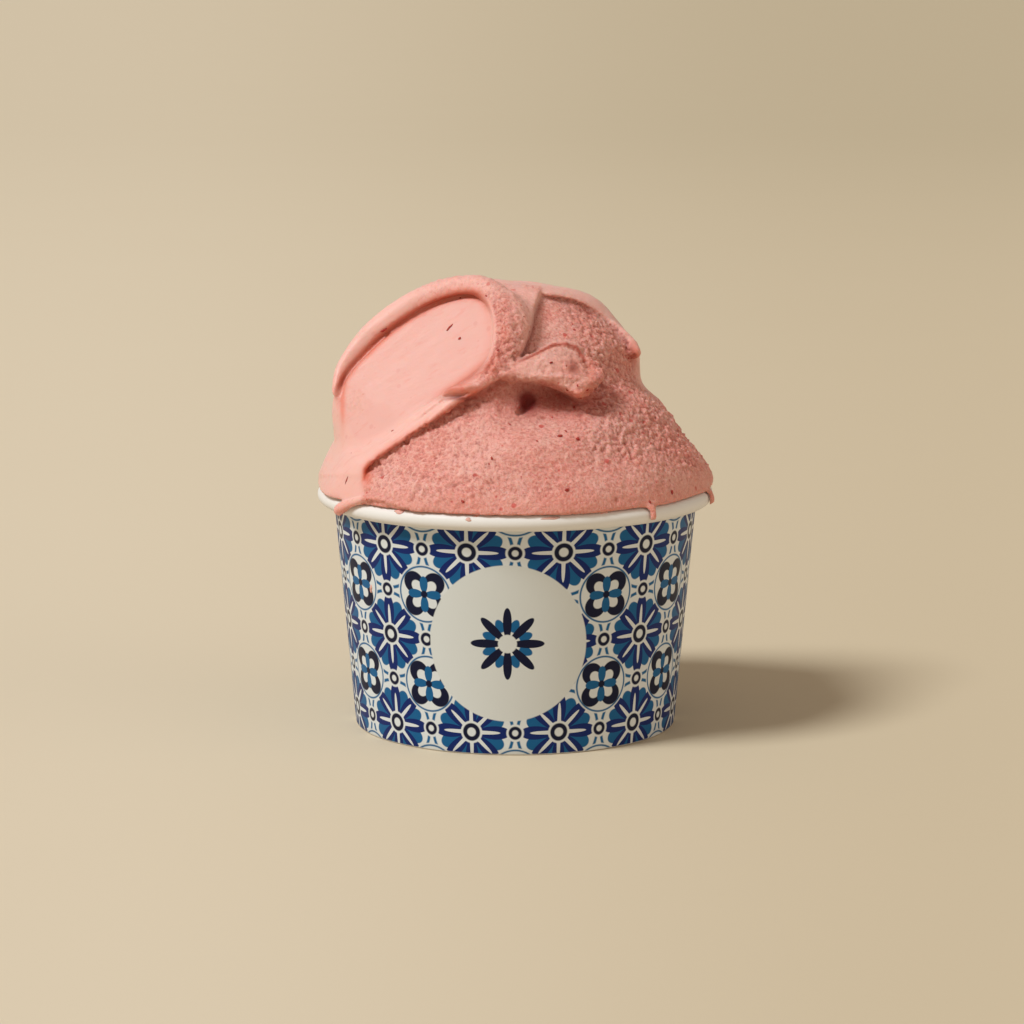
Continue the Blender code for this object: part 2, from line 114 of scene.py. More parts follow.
def fading(distance: np.ndarray, reach: float, power: float) -> np.ndarray:
    """Fall from 1 at a line to nothing beyond its reach, on the positive side only.

    Args:
        distance: Signed distance to the line.
        reach: How far the value carries.
        power: How sharply it falls.

    Returns:
        Values from 0 to 1.
    """
    return np.exp(-((np.clip(distance, 0.0, None) / reach) ** power))


def curve(points: Line | np.ndarray, closed: bool = False, steps: int = 5) -> np.ndarray:
    """Find points along a smooth curve through the given ones.

    Args:
        points: Rows to pass through.
        closed: Whether the curve returns to its start.
        steps: Points for each given one.

    Returns:
        The curve's rows.
    """
    given = np.array(points, dtype=float)
    if closed:
        given = np.vstack([given[-1], given, given[:2]])
    else:
        given = np.vstack([2 * given[0] - given[1], given, 2 * given[-1] - given[-2]])
    found = []
    for a, b, c, d in zip(given, given[1:], given[2:], given[3:]):
        for t in np.arange(steps) / steps:
            bend = 2 * b + (c - a) * t + (2 * a - 5 * b + 4 * c - d) * t**2
            found.append((bend + (3 * b - a - 3 * c + d) * t**3) / 2)
    if not closed:
        found.append(given[-2])
    return np.array(found)


def nearest_on(places: np.ndarray, start: np.ndarray, end: np.ndarray) -> tuple[np.ndarray, np.ndarray]:
    """Find the nearest point of a segment.

    Args:
        places: Rows to measure from.
        start: The segment's start.
        end: The segment's end.

    Returns:
        How far along the nearest point is, 0 to 1, and the offset from it.
    """
    run = end - start
    t = np.clip((places - start) @ run / (run @ run), 0.0, 1.0)
    return t, places - start - t[:, None] * run


def side_of(places: np.ndarray, line: np.ndarray) -> tuple[np.ndarray, np.ndarray]:
    """Measure to an open line that carries on straight past its ends.

    Args:
        places: Rows of x and h.
        line: The line's rows.

    Returns:
        Signed distance, positive on the right of one who walks the line, and how far along it.
    """
    first = line[0] + (line[0] - line[1]) * 200.0
    last = line[-1] + (line[-1] - line[-2]) * 200.0
    line = np.vstack([first, line, last])
    distance = np.full(len(places), np.inf)
    signed = np.zeros(len(places))
    along = np.zeros(len(places))
    for i, (start, end) in enumerate(zip(line, line[1:])):
        t, offset = nearest_on(places, start, end)
        length = np.hypot(offset[:, 0], offset[:, 1])
        nearer = length < distance - 1e-9
        run = end - start
        turn = offset[nearer, 0] * run[1] - offset[nearer, 1] * run[0]
        distance[nearer] = length[nearer]
        signed[nearer] = np.where(turn > 0, 1.0, -1.0) * length[nearer]
        along[nearer] = (i - 1 + t[nearer]) / (len(line) - 3)
    return signed, np.clip(along, 0.0, 1.0)


def outside_of(places: np.ndarray, outline: np.ndarray) -> np.ndarray:
    """Measure to a closed outline.

    Args:
        places: Rows of x and h.
        outline: The outline's rows.

    Returns:
        Signed distance, negative inside.
    """
    distance = np.full(len(places), np.inf)
    inside = np.zeros(len(places), dtype=bool)
    x, h = places.T
    for start, end in zip(outline, np.roll(outline, -1, axis=0)):
        offset = nearest_on(places, start, end)[1]
        distance = np.minimum(distance, np.hypot(offset[:, 0], offset[:, 1]))
        rise = end[1] - start[1]
        if rise:
            crossing = start[0] + (end[0] - start[0]) * (h - start[1]) / rise
            inside ^= ((start[1] > h) != (end[1] > h)) & (x < crossing)
    return np.where(inside, -distance, distance)


def ellipsoid(points: np.ndarray, centre: tuple[float, ...], radii: tuple[float, ...]) -> np.ndarray:
    """Measure to an ellipsoid.

    Args:
        points: Rows of x, y, z.
        centre: The ellipsoid's middle.
        radii: Its three radii.

    Returns:
        Distances, close to true near its surface.
    """
    offset = points - np.array(centre)
    scale = np.array(radii)
    scaled = np.linalg.norm(offset / scale, axis=1)
    return scaled * (scaled - 1.0) / np.maximum(np.linalg.norm(offset / scale**2, axis=1), 1e-9)


def roll(points: np.ndarray, path: np.ndarray) -> np.ndarray:
    """Measure to a round roll along a path.

    Args:
        points: Rows of x, y, z.
        path: Rows of x, y, z and radius.

    Returns:
        Distances, 9 mm at the most.
    """
    far = 9.0
    near_low = path[:, :3].min(axis=0) - far - path[:, 3].max()
    near_high = path[:, :3].max(axis=0) + far + path[:, 3].max()
    near = ((points > near_low) & (points < near_high)).all(axis=1)
    distance = np.full(near.sum(), far)
    for start, end in zip(path, path[1:]):
        t, offset = nearest_on(points[near], start[:3], end[:3])
        radius = start[3] + (end[3] - start[3]) * t
        distance = np.minimum(distance, np.linalg.norm(offset, axis=1) - radius)
    found = np.full(len(points), far)
    found[near] = distance
    return found


def spot(places: np.ndarray, x: float, h: float, width: float, height: float) -> np.ndarray:
    """Fade out around a place of the drawing.

    Args:
        places: Rows of x and h.
        x: The spot's middle across.
        h: The spot's middle up.
        width: Its reach across.
        height: Its reach up.

    Returns:
        Values that fall from 1 in the middle.
    """
    return np.exp(-(((places[:, 0] - x) / width) ** 2) - ((places[:, 1] - h) / height) ** 2)


# ---------------------------------------------------------------------------------------------
# The cup's sizes and the heap's shape


@dataclass(frozen=True)
class CupSizes:
    """The paper cup's sizes in millimetres."""

    height: float = 58.0
    foot_radius: float = 38.75
    shoulder_radius: float = 43.6
    shoulder_height: float = 54.6
    board: float = 0.5
    roll_radius: float = 2.0
    rim_radius: float = 47.5
    gap: float = 0.3
    fold_top: float = 5.0
    base_top: float = 6.0

    @property
    def roll_centre(self) -> tuple[float, float]:
        """Radius and height of the middle of the rim's roll."""
        return self.rim_radius - self.roll_radius, self.height - self.roll_radius

    def wall_radius(self, height: "float | np.ndarray | Wire") -> "float | np.ndarray | Wire":
        """The wall's outside radius below the rim.

        Args:
            height: Height above the foot.

        Returns:
            The radius there.
        """
        return self.foot_radius + (self.shoulder_radius - self.foot_radius) * height / self.shoulder_height


@dataclass(frozen=True)
class Heap:
    """The heaped gelato as a distance field, worked with strokes that are drawn as an eye sees them.

    A drawing has x to its right and a height h, square to a sight line that drops by sight_drop. Rolls
    A drawing has x to its right and a height h, square to a sight line that drops by sight_drop. Rolls
    are rows of x, h, the roll's radius, and how far it stands proud. The spots of painted glow, where light
    shines through thin edges, are places with the spot's reach across and up.
    """

    cup: CupSizes = CupSizes()
    clearance: float = 0.3
    foot_radius: float = 47.9
    foot_height: float = 57.0
    edge_height: float = 57.8
    apex_rise: float = 48.3
    cut_off: float = 98.0
    scoop: tuple[tuple[float, ...], tuple[float, ...]] = ((-8.0, 2.0, 78.0), (34.1, 31.0, 27.7))
    cap: tuple[tuple[float, ...], tuple[float, ...]] = ((1.5, 6.0, 84.3), (28.0, 28.0, 21.1))
    core: tuple[float, float, float] = (41.2, 50.0, 62.0)
    sight_drop: float = math.radians(11.0)
    sight_height: float = 30.0
    crest_height: float = 77.0
    fold_edge: Line = ((-36.5, 19), (-34.9, 27), (-33.2, 31.6), (-20.5, 40.3), (-9, 47.4),
                       (-0.8, 53), (2.8, 60.2), (5.1, 68.9), (7.5, 76))
    cap_edge: Line = ((3, 73), (7, 71.6), (13.4, 70.8), (20.2, 68), (25.7, 63.1), (29.5, 56.3))
    dish_outline: Line = ((-41.2, 44), (-40.7, 51.8), (-30.9, 62.4), (-19.6, 69.5), (-10, 71.2), (-5.6, 66.4),
                          (-5.6, 57.4), (-10, 51.4), (-22, 44), (-36, 36))
    flap_outline: Line = ((-3, 51.8), (3.2, 56.2), (9.8, 59.6), (15.0, 58.4), (17.2, 52), (15.4, 46.6),
                          (11.6, 48.2), (7.6, 50.0), (2, 50.6))
    dish_centre: tuple[float, ...] = (-19.6, -18.35, 85.9)
    dish_facing: tuple[float, ...] = (-0.452, -0.682, 0.575)
    dish_hollow: float = 0.0015
    dish_bend: float = 0.0112
    dish_bend_start: float = -10.0
    shoulder: tuple[tuple[float, ...], float] = ((-0.601, -0.398, 0.693), 83.5)
    lip_roll: Line = ((-40.6, 38, 0.5, 0.7), (-42.0, 44, 0.7, 1.3), (-42.0, 50, 0.9, 1.8),
                      (-40.4, 55.2, 1.4, 2.2), (-33.4, 63.9, 2.0, 2.7), (-20.9, 71.5, 2.3, 2.9),
                      (-8.6, 72.8, 3.0, 3.0), (-1.8, 66.5, 3.5, 2.7), (-2.2, 58, 3.0, 2.3),
                      (-6.6, 51.6, 1.8, 1.8), (-14, 46.8, 0.8, 1.0))
    lip_undercut: Line = ((-40.9, 47, 0.3, 1.0), (-40.5, 51.0, 0.7, 1.4), (-38.4, 54.4, 0.8, 1.5),
                          (-35.0, 58.1, 0.85, 1.5), (-30.7, 62.1, 0.85, 1.5), (-25.0, 66, 0.85, 1.4),
                          (-19.4, 68.8, 0.8, 1.4), (-13.9, 70.4, 0.7, 1.3), (-9.7, 70.5, 0.5, 1.2),
                          (-6.8, 68.4, 0.3, 1.1))
    crease_groove: Line = ((0.2, 54.6, 0.4, 0.2), (2.6, 60.2, 0.7, 0.2), (4.9, 67.6, 0.6, 0.2),
                           (6.0, 71.6, 0.3, 0.1))
    flap_roll: Line = ((-2.5, 51.4, 1.3, 0.6), (2.5, 52.6, 2.6, 2.2), (7.5, 52.6, 3.4, 3.6),
                       (11.4, 51.2, 3.7, 4.6), (14.2, 49.0, 3.2, 4.8))
    flap_curl: Line = ((14.6, 48.6, 1.9, 4.6), (16.6, 51.4, 1.2, 3.2), (16.4, 54.2, 0.9, 1.9),
                       (14.6, 56.6, 0.6, 0.8))
    flap_groove: Line = ((0.6, 53.8, 0.4, 2.0), (2.1, 54.7, 0.6, 2.3), (4.6, 56.2, 0.65, 1.9),
                         (7.2, 57.7, 0.65, 1.1), (9.7, 58.5, 0.65, 1.1), (12.3, 58.2, 0.6, 1.1),
                         (14.4, 57.2, 0.55, 1.2), (16.0, 55.6, 0.35, 1.4))
    cap_bead: Line = ((23.8, 65.6, 1.2, 0.9), (27.2, 61.6, 1.6, 1.4), (28.3, 58.6, 1.7, 1.9))
    hollow: Line = ((1.0, 43.4, 0.7, -0.9), (2.2, 44.6, 1.1, -1.1), (3.4, 45.9, 1.1, -1.1),
                    (4.6, 47.1, 0.7, -1.1))
    hollow_depth: float = 2.4
    fold_curl: Line = ((-16.6, 46.6, 0.35, 0.9), (-14.8, 47.3, 0.9, 1.9), (-12.4, 47.7, 1.1, 2.4),
                       (-10.2, 48.0, 0.8, 2.3), (-8.8, 48.3, 0.35, 1.7))
    curl_slit: Line = ((-16.0, 45.9, 0.3, 1.1), (-13.2, 46.0, 0.5, 1.4), (-10.6, 46.8, 0.35, 1.3))
    fold_ridge: Line = ((-16.6, 45.4, 0.35, 1.2), (-20.6, 42.6, 0.45, 1.1), (-24.6, 39.4, 0.45, 0.9),
                        (-28.4, 36.0, 0.35, 0.9))
    flap_pits: Line = ((11.2, 55.2, 0.4, 3.7), (12.8, 53.9, 0.7, 4.3), (14.2, 52.2, 0.7, 4.6),
                       (14.8, 50.8, 0.4, 4.4))
    flap_edge: Line = ((1.0, 50.6, 0.4, 2.0), (5.5, 50.2, 0.7, 3.6), (9.6, 49.4, 0.9, 4.8),
                       (12.6, 47.6, 1.2, 5.4), (15.2, 46.4, 1.7, 5.4), (17.4, 48.4, 1.3, 4.8),
                       (18.0, 51.6, 0.8, 3.6), (17.0, 54.8, 0.6, 2.4), (14.6, 57.0, 0.5, 1.4))
    recess: tuple[float, ...] = (7.0, 45.5, 13.0, 8.0, 4.4)
    fold_depth: float = 2.4
    crease_depth: float = 0.6
    cap_step: float = 0.9
    layer_thickness: tuple[float, float] = (0.6, 0.5)
    flap_thickness: tuple[float, float] = (0.8, 3.2)
    dish_pad: float = 6.0
    dish_merging: float = 6.0
    back_fold_edge: Line = ((-43, 46), (-33, 43.5), (-20, 45.5), (-6, 44.5), (10, 38), (26, 33), (41, 21))
    back_dish: tuple[tuple[float, ...], float] = ((7.0, 58.0, 108.0), 36.0)
    back_roll: Line = ((-24, 56, 1.2, 0.7), (-17, 63.5, 2.4, 1.3), (-6, 68, 3.2, 1.8), (8, 67, 3.0, 1.7),
                       (20, 60.5, 2.0, 1.2), (26, 52, 1.1, 0.7))
    runs: Line = ((-48.5, 1.2, 1.2), (-14.0, 1.3, 1.6))
    tongue: Line = ((-119, 46.6, 58.6, 0.4), (-126, 46.9, 59.1, 0.5), (-133, 47.0, 59.8, 0.7),
                    (-138, 47.4, 59.2, 0.8), (-142.5, 47.8, 57.9, 1.1), (-146.5, 48.0, 56.5, 1.4),
                    (-149, 47.9, 55.6, 1.4))
    tongue_gap: Line = ((-120, 47.4, 57.9, 0.3), (-126, 47.6, 58.4, 0.5), (-132, 47.6, 58.9, 0.7),
                        (-137, 47.9, 58.3, 0.5), (-140, 48.0, 57.4, 0.3))
    lumpiness: float = 0.35
    lump_waves: Line = ((0.19, 0.0, 0.0, 0.7), (0.0, 0.23, 0.11, 0.0), (-0.17, 0.13, 0.31, 0.0))
    # Painted glow: orange-red spots where light shines through thin gelato, at the fold's end, the cap's
    # bead, the flap's curl and the tongue.
    glow_spots: Line = ((-34.3, 27.8, 1.2, 2.6), (28.6, 58.2, 1.6, 2.6), (17.4, 52.0, 1.0, 4.0),
                        (13.4, 53.2, 2.0, 2.4), (-12.0, 47.4, 3.6, 1.2), (-40.8, 45.0, 0.7, 5.0),
                        (-38.4, 19.4, 4.5, 1.6), (15.0, 47.0, 2.4, 1.6))

    def body(self, points: np.ndarray) -> np.ndarray:
        """Measure to the unworked heap: a mound on the rim, a big scoop at the left, a cap behind it.

        Args:
            points: Rows of x, y, z.

        Returns:
            Signed distances.
        """
        x, y, z = points.T
        rise = np.clip((z - self.foot_height) / self.apex_rise, 0.0, 1.0)
        slope = self.foot_radius * 1.5 * np.sqrt(rise) / self.apex_rise
        mound = (np.hypot(x, y) - self.foot_radius * (1.0 - rise**1.5)) / np.hypot(1.0, slope)
        mound = keep(mound, z - self.cut_off, 8.0)
        facing, offset = self.shoulder
        scoop = keep(ellipsoid(points, *self.scoop), points @ np.array(facing) - offset, 4.0)
        heap = blend(blend(mound, scoop, 3.0), ellipsoid(points, *self.cap), 3.0)
        first, second, third = (np.sin(points @ np.array(wave[:3]) + wave[3]) for wave in self.lump_waves)
        return heap + self.lumpiness * (first * second + third)

    def sight(self, side: int = 1) -> np.ndarray:
        """The direction that an eye looks in, from the serving side (1) or from the far one (-1)."""
        return np.array([0.0, side * math.cos(self.sight_drop), -math.sin(self.sight_drop)])

    def drawn(self, points: np.ndarray, side: int = 1) -> np.ndarray:
        """Rows of x and h where points lie in the drawing of a side."""
        x, y, z = points.T
        drop = side * y * math.sin(self.sight_drop)
        return np.stack([side * x, (z - self.sight_height) * math.cos(self.sight_drop) + drop], axis=1)

    def undrawn(self, places: np.ndarray, side: int = 1) -> np.ndarray:
        """The points in the upright plane through the cup's axis that a drawing's places stand for."""
        x, h = places.T
        drop = side * h * math.sin(self.sight_drop)
        return np.stack([side * x, drop, self.sight_height + h * math.cos(self.sight_drop)], axis=1)

    def pressed_on_heap(self, path: Line, side: int = 1) -> np.ndarray:
        """Bring a drawn roll on to the heap's surface.

        Args:
            path: Rows of x, h, radius and how far it stands proud.
            side: The side it is drawn for.

        Returns:
            A smooth path in rows of x, y, z and radius.
        """
        x, h, radius, proud = np.array(path, dtype=float).T
        points = self.undrawn(np.stack([x, h], axis=1), side) - 90.0 * self.sight(side)
        for _ in range(200):
            points = points + 0.7 * self.body(points)[:, None] * self.sight(side)
        here = self.body(points)
        slope = np.stack([self.body(points + 0.05 * axis) - here for axis in np.eye(3)], axis=1)
        normals = slope / np.linalg.norm(slope, axis=1, keepdims=True)
        points += normals * (proud - radius)[:, None]
        return curve(np.column_stack([points, radius]))

    def pressed_on_dish(self, path: Line) -> np.ndarray:
        """Bring a drawn roll on to the plane of the dish.

        Args:
            path: Rows of x, h, radius and how far it stands proud.

        Returns:
            A smooth path in rows of x, y, z and radius.
        """
        x, h, radius, proud = np.array(path, dtype=float).T
        facing = np.array(self.dish_facing)
        points = self.undrawn(np.stack([x, h], axis=1))
        reach = (np.array(self.dish_centre) - points) @ facing / (self.sight() @ facing)
        points += reach[:, None] * self.sight() + facing * (proud - radius)[:, None]
        return curve(np.column_stack([points, radius]))

    @cached_property
    def strokes(self) -> dict[str, np.ndarray]:
        """Make the strokes ready to measure to.

        Returns:
            The smooth lines, outlines and rolls by name.
        """
        lines = {name: curve(getattr(self, name)) for name in ("fold_edge", "cap_edge", "back_fold_edge")}
        outlines = {name: curve(getattr(self, name), True) for name in ("dish_outline", "flap_outline")}
        rolls = ("flap_roll", "flap_curl", "flap_groove", "cap_bead", "hollow", "fold_curl", "curl_slit",
                 "fold_ridge", "crease_groove", "flap_pits", "flap_edge")
        pressed = {name: self.pressed_on_heap(getattr(self, name)) for name in rolls}
        pressed["back_roll"] = self.pressed_on_heap(self.back_roll, side=-1)
        pressed["lip_roll"] = self.pressed_on_dish(self.lip_roll)
        pressed["lip_undercut"] = self.pressed_on_dish(self.lip_undercut)
        return {**lines, **outlines, **pressed}

    def dish_height(self, points: np.ndarray) -> tuple[np.ndarray, np.ndarray]:
        """Measure to the dish: a shallow hollow that bends down with the heap below it.

        Args:
            points: Rows of x, y, z.

        Returns:
            The height above it, and how far up the dish.
        """
        facing = np.array(self.dish_facing)
        across = np.cross((0.0, 0.0, 1.0), facing)
        across /= np.linalg.norm(across)
        offset = points - np.array(self.dish_centre)
        s = offset @ across
        t = offset @ np.cross(facing, across)
        bend = self.dish_bend * np.clip(self.dish_bend_start - t, 0.0, None) ** 2
        return offset @ facing - self.dish_hollow * (s**2 + t**2) + bend, t

    def serving_side(self, points: np.ndarray, heap: np.ndarray) -> np.ndarray:
        """Work the strokes of the serving side into the heap.

        Args:
            points: Rows of x, y, z.
            heap: Distances to the unworked heap.

        Returns:
            Distances to the worked heap.
        """
        strokes = self.strokes
        places = self.drawn(points)
        x, h = places.T
        near = ramp(points[:, 1], 10.0, -6.0) * ramp(h, self.crest_height, self.crest_height - 8.0)
        fold, fold_along = side_of(places, strokes["fold_edge"])

        # The rough gelato lies deeper beside the fold, deeper still under the flap, and right of the crease.
        deeper = 0.4 + 0.6 * ramp(fold_along, 0.28, 0.5) - 0.55 * ramp(fold_along, 0.64, 0.76)
        beside_fold = self.fold_depth * fading(fold, 10.0, 1.4) * ramp(fold_along, 0.08, 0.22) * deeper
        middle_x, middle_h, wide, high, depth = self.recess
        spread = np.hypot((x - middle_x) / wide, (h - middle_h) / high)
        under_flap = depth * np.exp(-spread**2.4) * ramp(fold, 0.0, 3.0)
        right_of_crease = self.crease_depth * ramp(x, 1.0, 6.0) * ramp(h, 49.0, 57.0)
        rough = heap + near * keep(keep(beside_fold, under_flap, 0.6), right_of_crease, 0.6)

        # The smooth cap behind, with its edge standing proud of the rough gelato.
        cap_side = side_of(places, strokes["cap_edge"])[0]
        on_top = ramp(h, 48.0, 56.0) * ramp(x, 4.0, 9.0)
        rough = rough + on_top * self.cap_step * fading(cap_side, 7.0, 1.5)
        cap = keep(heap, cap_side, 1.2)
        worked = np.where((h > 48.0) & (x > 0.0), blend(rough, cap, 0.4), rough)

        # The smooth layer at the left, thick and beaded along the fold, thicker still at the crease.
        thin, thicker = self.layer_thickness
        at_crease = ramp(fold_along, 0.5, 0.75) * fading(-fold, 12.0, 2.0)
        thickness = thin * ramp(fold_along, 0.08, 0.18) + thicker * at_crease
        layer = keep(heap - thickness * near, fold, 1.2)
        bead_radius = -0.6 + 0.9 * ramp(fold_along, 0.11, 0.17)
        bead_radius = bead_radius + 1.15 * ramp(fold_along, 0.14, 0.3) * ramp(fold_along, 0.67, 0.52)
        bead = np.hypot(fold + 1.2, heap + 0.1) - bead_radius
        worked = blend(worked, blend(layer, bead, 0.6), 0.3)

        worked = self._scooped(points, places, worked)
        worked = self._with_flap(points, places, heap, worked)
        worked = blend(worked, roll(points, strokes["cap_bead"]), 0.8)
        hollow = strokes["hollow"]
        inward = hollow + np.append(self.hollow_depth * self.sight(), 0.0)
        return keep(worked, -blend(roll(points, hollow), roll(points, inward), 1.0), 0.3)

    def _scooped(self, points: np.ndarray, places: np.ndarray, worked: np.ndarray) -> np.ndarray:
        """Scoop the dish with the lip pushed up around it, and add the curl on the fold below.

        Args:
            points: Rows of x, y, z.
            places: Where they are in the drawing.
            worked: Distances so far.

        Returns:
            Distances with them.
        """
        strokes = self.strokes
        height, up_dish = self.dish_height(points)
        outline = outside_of(places, strokes["dish_outline"])
        merging = self.dish_merging * ramp(up_dish, -2.0, -14.0)
        floor = keep(keep(height, outline - 1.0, 0.8), -height - self.dish_pad, 0.8)
        worked = blend(worked, floor, 1.0 + merging)
        lip = roll(points, strokes["lip_roll"])
        worked = blend(worked, lip, 1.6 + 2.9 * ramp(places[:, 1], 54.0, 66.0))
        scooped = keep(keep(-height, outline, 0.6), -lip, 0.4)
        worked = keep(worked, -scooped, 0.6 + merging)
        worked = keep(worked, -roll(points, strokes["lip_undercut"]), 0.4)
        worked = keep(worked, -roll(points, strokes["crease_groove"]), 0.8)
        worked = blend(worked, roll(points, strokes["fold_curl"]), 0.6)
        worked = blend(worked, roll(points, strokes["fold_ridge"]), 0.3)
        return keep(worked, -roll(points, strokes["curl_slit"]), 0.3)

    def _with_flap(self, points: np.ndarray, places: np.ndarray, heap: np.ndarray,
                   worked: np.ndarray) -> np.ndarray:
        """Add the flap that hangs over the rough gelato, with its groove and its pits.

        Args:
            points: Rows of x, y, z.
            places: Where they are in the drawing.
            heap: Distances to the unworked heap.
            worked: Distances so far.

        Returns:
            Distances with it.
        """
        strokes = self.strokes
        x, h = places.T
        root, tip = self.flap_thickness
        thickness = root + tip * ramp(h, 58.0, 48.0) * ramp(x, -4.0, 9.0)
        flap = keep(heap - thickness, outside_of(places, strokes["flap_outline"]), 1.4)
        flap = blend(flap, roll(points, strokes["flap_roll"]), 2.0)
        flap = blend(flap, roll(points, strokes["flap_curl"]), 0.6)
        worked = blend(worked, np.where(points[:, 1] < 0.0, flap, 9.0), 0.6)
        worked = blend(worked, roll(points, strokes["flap_edge"]), 0.8)
        worked = keep(worked, -roll(points, strokes["flap_groove"]), 0.4)
        return keep(worked, -roll(points, strokes["flap_pits"]), 0.4)

    def far_side(self, points: np.ndarray, heap: np.ndarray) -> np.ndarray:
        """Work one broad stroke into the heap's far side.

        Args:
            points: Rows of x, y, z.
            heap: Distances to the unworked heap.

        Returns:
            Distances to the worked heap.
        """
        strokes = self.strokes
        near = ramp(points[:, 1], -2.0, 10.0)
        fold = side_of(self.drawn(points, side=-1), strokes["back_fold_edge"])[0]
        rough = heap + self.fold_depth * near * fading(fold, 12.0, 1.5)
        layer = keep(heap - self.layer_thickness[0] * near, fold, 1.8)
        worked = blend(blend(rough, layer, 0.8), roll(points, strokes["back_roll"]), 1.8)
        centre, radius = self.back_dish
        return keep(worked, radius - np.linalg.norm(points - np.array(centre), axis=1), 1.5)

    def over_rim(self, points: np.ndarray, heap: np.ndarray) -> np.ndarray:
        """Add what has run over the rim: the drips, and the tongue with the gap under its trailing edge.

        Args:
            points: Rows of x, y, z.
            heap: Distances to the worked heap.

        Returns:
            Distances with them.
        """
        found = np.full(len(points), 9.0)
        edge = self.cup.rim_radius
        top = self.cup.height
        for degrees, radius, drop in self.runs:
            out = np.array([math.cos(math.radians(degrees)), math.sin(math.radians(degrees))])
            reaches = (edge - 4.0, edge - 0.8, edge, edge - 0.3)
            heights = (top + 0.6, top - 0.4, top - 2.0, top - drop)
            path = [(*(reach * out), height, radius) for reach, height in zip(reaches, heights)]
            found = np.minimum(found, roll(points, curve(path)))
        gap = roll(points, self.round_rim(self.tongue_gap))
        return keep(blend(heap, np.minimum(found, roll(points, self.round_rim(self.tongue))), 0.9), -gap, 0.3)

    def round_rim(self, path: Line) -> np.ndarray:
        """Turn a path round the rim into rows of x, y, z and radius.

        Args:
            path: Rows of degrees from +X, distance from the axis, height and radius.

        Returns:
            A smooth path.
        """
        turn, reach, height, radius = np.array(path, dtype=float).T
        turn = np.radians(turn)
        return curve(np.stack([reach * np.cos(turn), reach * np.sin(turn), height, radius], axis=1))

    def field(self, points: np.ndarray) -> np.ndarray:
        """Measure to the finished heap, whose core reaches down into the cup.

        Args:
            points: Rows of x, y, z.

        Returns:
            Signed distances.
        """
        x, y, z = points.T
        heap = self.body(points)
        far = ramp(y, 0.0, 8.0)
        worked = (1.0 - far) * self.serving_side(points, heap) + far * self.far_side(points, heap)
        worked = keep(worked, self.edge_height - z, 0.8)
        worked = self.over_rim(points, worked)
        radius, low, high = self.core
        worked = blend(worked, np.maximum(np.hypot(x, y) - radius, np.maximum(low - z, z - high)), 0.3)
        roll_radius, roll_height = self.cup.roll_centre
        rim = np.hypot(np.hypot(x, y) - roll_radius, z - roll_height) - self.cup.roll_radius
        return keep(worked, self.clearance - rim, 0.5)

    def found_at(self, places: Line) -> tuple[np.ndarray, np.ndarray]:
        """Find the finished surface behind places of the serving side's drawing.

        Args:
            places: Rows of x and h.

        Returns:
            Points on the surface and their outward directions.
        """
        points = self.undrawn(np.array(places, dtype=float)) - 90.0 * self.sight()
        for _ in range(160):
            points = points + 0.6 * self.field(points)[:, None] * self.sight()
        here = self.field(points)
        slope = np.stack([self.field(points + 0.1 * axis) - here for axis in np.eye(3)], axis=1)
        return points, slope / np.linalg.norm(slope, axis=1, keepdims=True)

    def marks(self, points: np.ndarray) -> dict[str, np.ndarray]:
        """Say what kind of surface the gelato has at each point.

        Args:
            points: Rows of x, y, z on the surface.

        Returns:
            Values from 0 to 1: rough and coarse grain, warm for painted glow at thin edges and painted shade,
                deep for painted shade, pale with painted highlight on the flap, smeared low down.
        """
        strokes = self.strokes
        places = self.drawn(points)
        x, h = places.T
        fold, along = side_of(places, strokes["fold_edge"])
        cap = side_of(places, strokes["cap_edge"])[0]
        flap = outside_of(places, strokes["flap_outline"])
        dish = outside_of(places, strokes["dish_outline"])
        back_fold = side_of(self.drawn(points, side=-1), strokes["back_fold_edge"])[0]
        far = ramp(points[:, 1], 0.0, 8.0)

        on_cap = ramp(cap, 0.4, -0.6) * ramp(x, 0.0, 3.0) * ramp(h, 51.0, 56.0)
        on_flap = ramp(flap, 1.2, 0.0)
        front = ramp(fold, -0.3, 0.7) * (1.0 - on_cap) * (1.0 - on_flap)
        band = ramp(dish, 0.0, 1.2) * ramp(h, 46.0, 49.0) * ramp(fold, 0.3, -0.6)
        flank = np.clip(spot(places, -3.6, 59.0, 5.0, 11.0) * 1.7, 0.0, 1.0) * band
        wedge = spot(places, -38.0, 45.8, 2.6, 3.6)
        grainy = 0.4 * band * ramp(x, -30.0, -16.0) + 0.4 * on_cap + 0.85 * on_flap
        front = np.clip(front + grainy + 0.8 * flank + 0.45 * wedge, 0.0, 1.0)
        rough = (1.0 - far) * front + far * ramp(back_fold, -0.3, 0.9)
        grainier = ramp(x, 8.0, 20.0) * ramp(h, 26.0, 36.0)
        coarse = rough * np.clip(grainier + 0.3 * far + flank + 0.5 * on_flap, 0.0, 1.0)

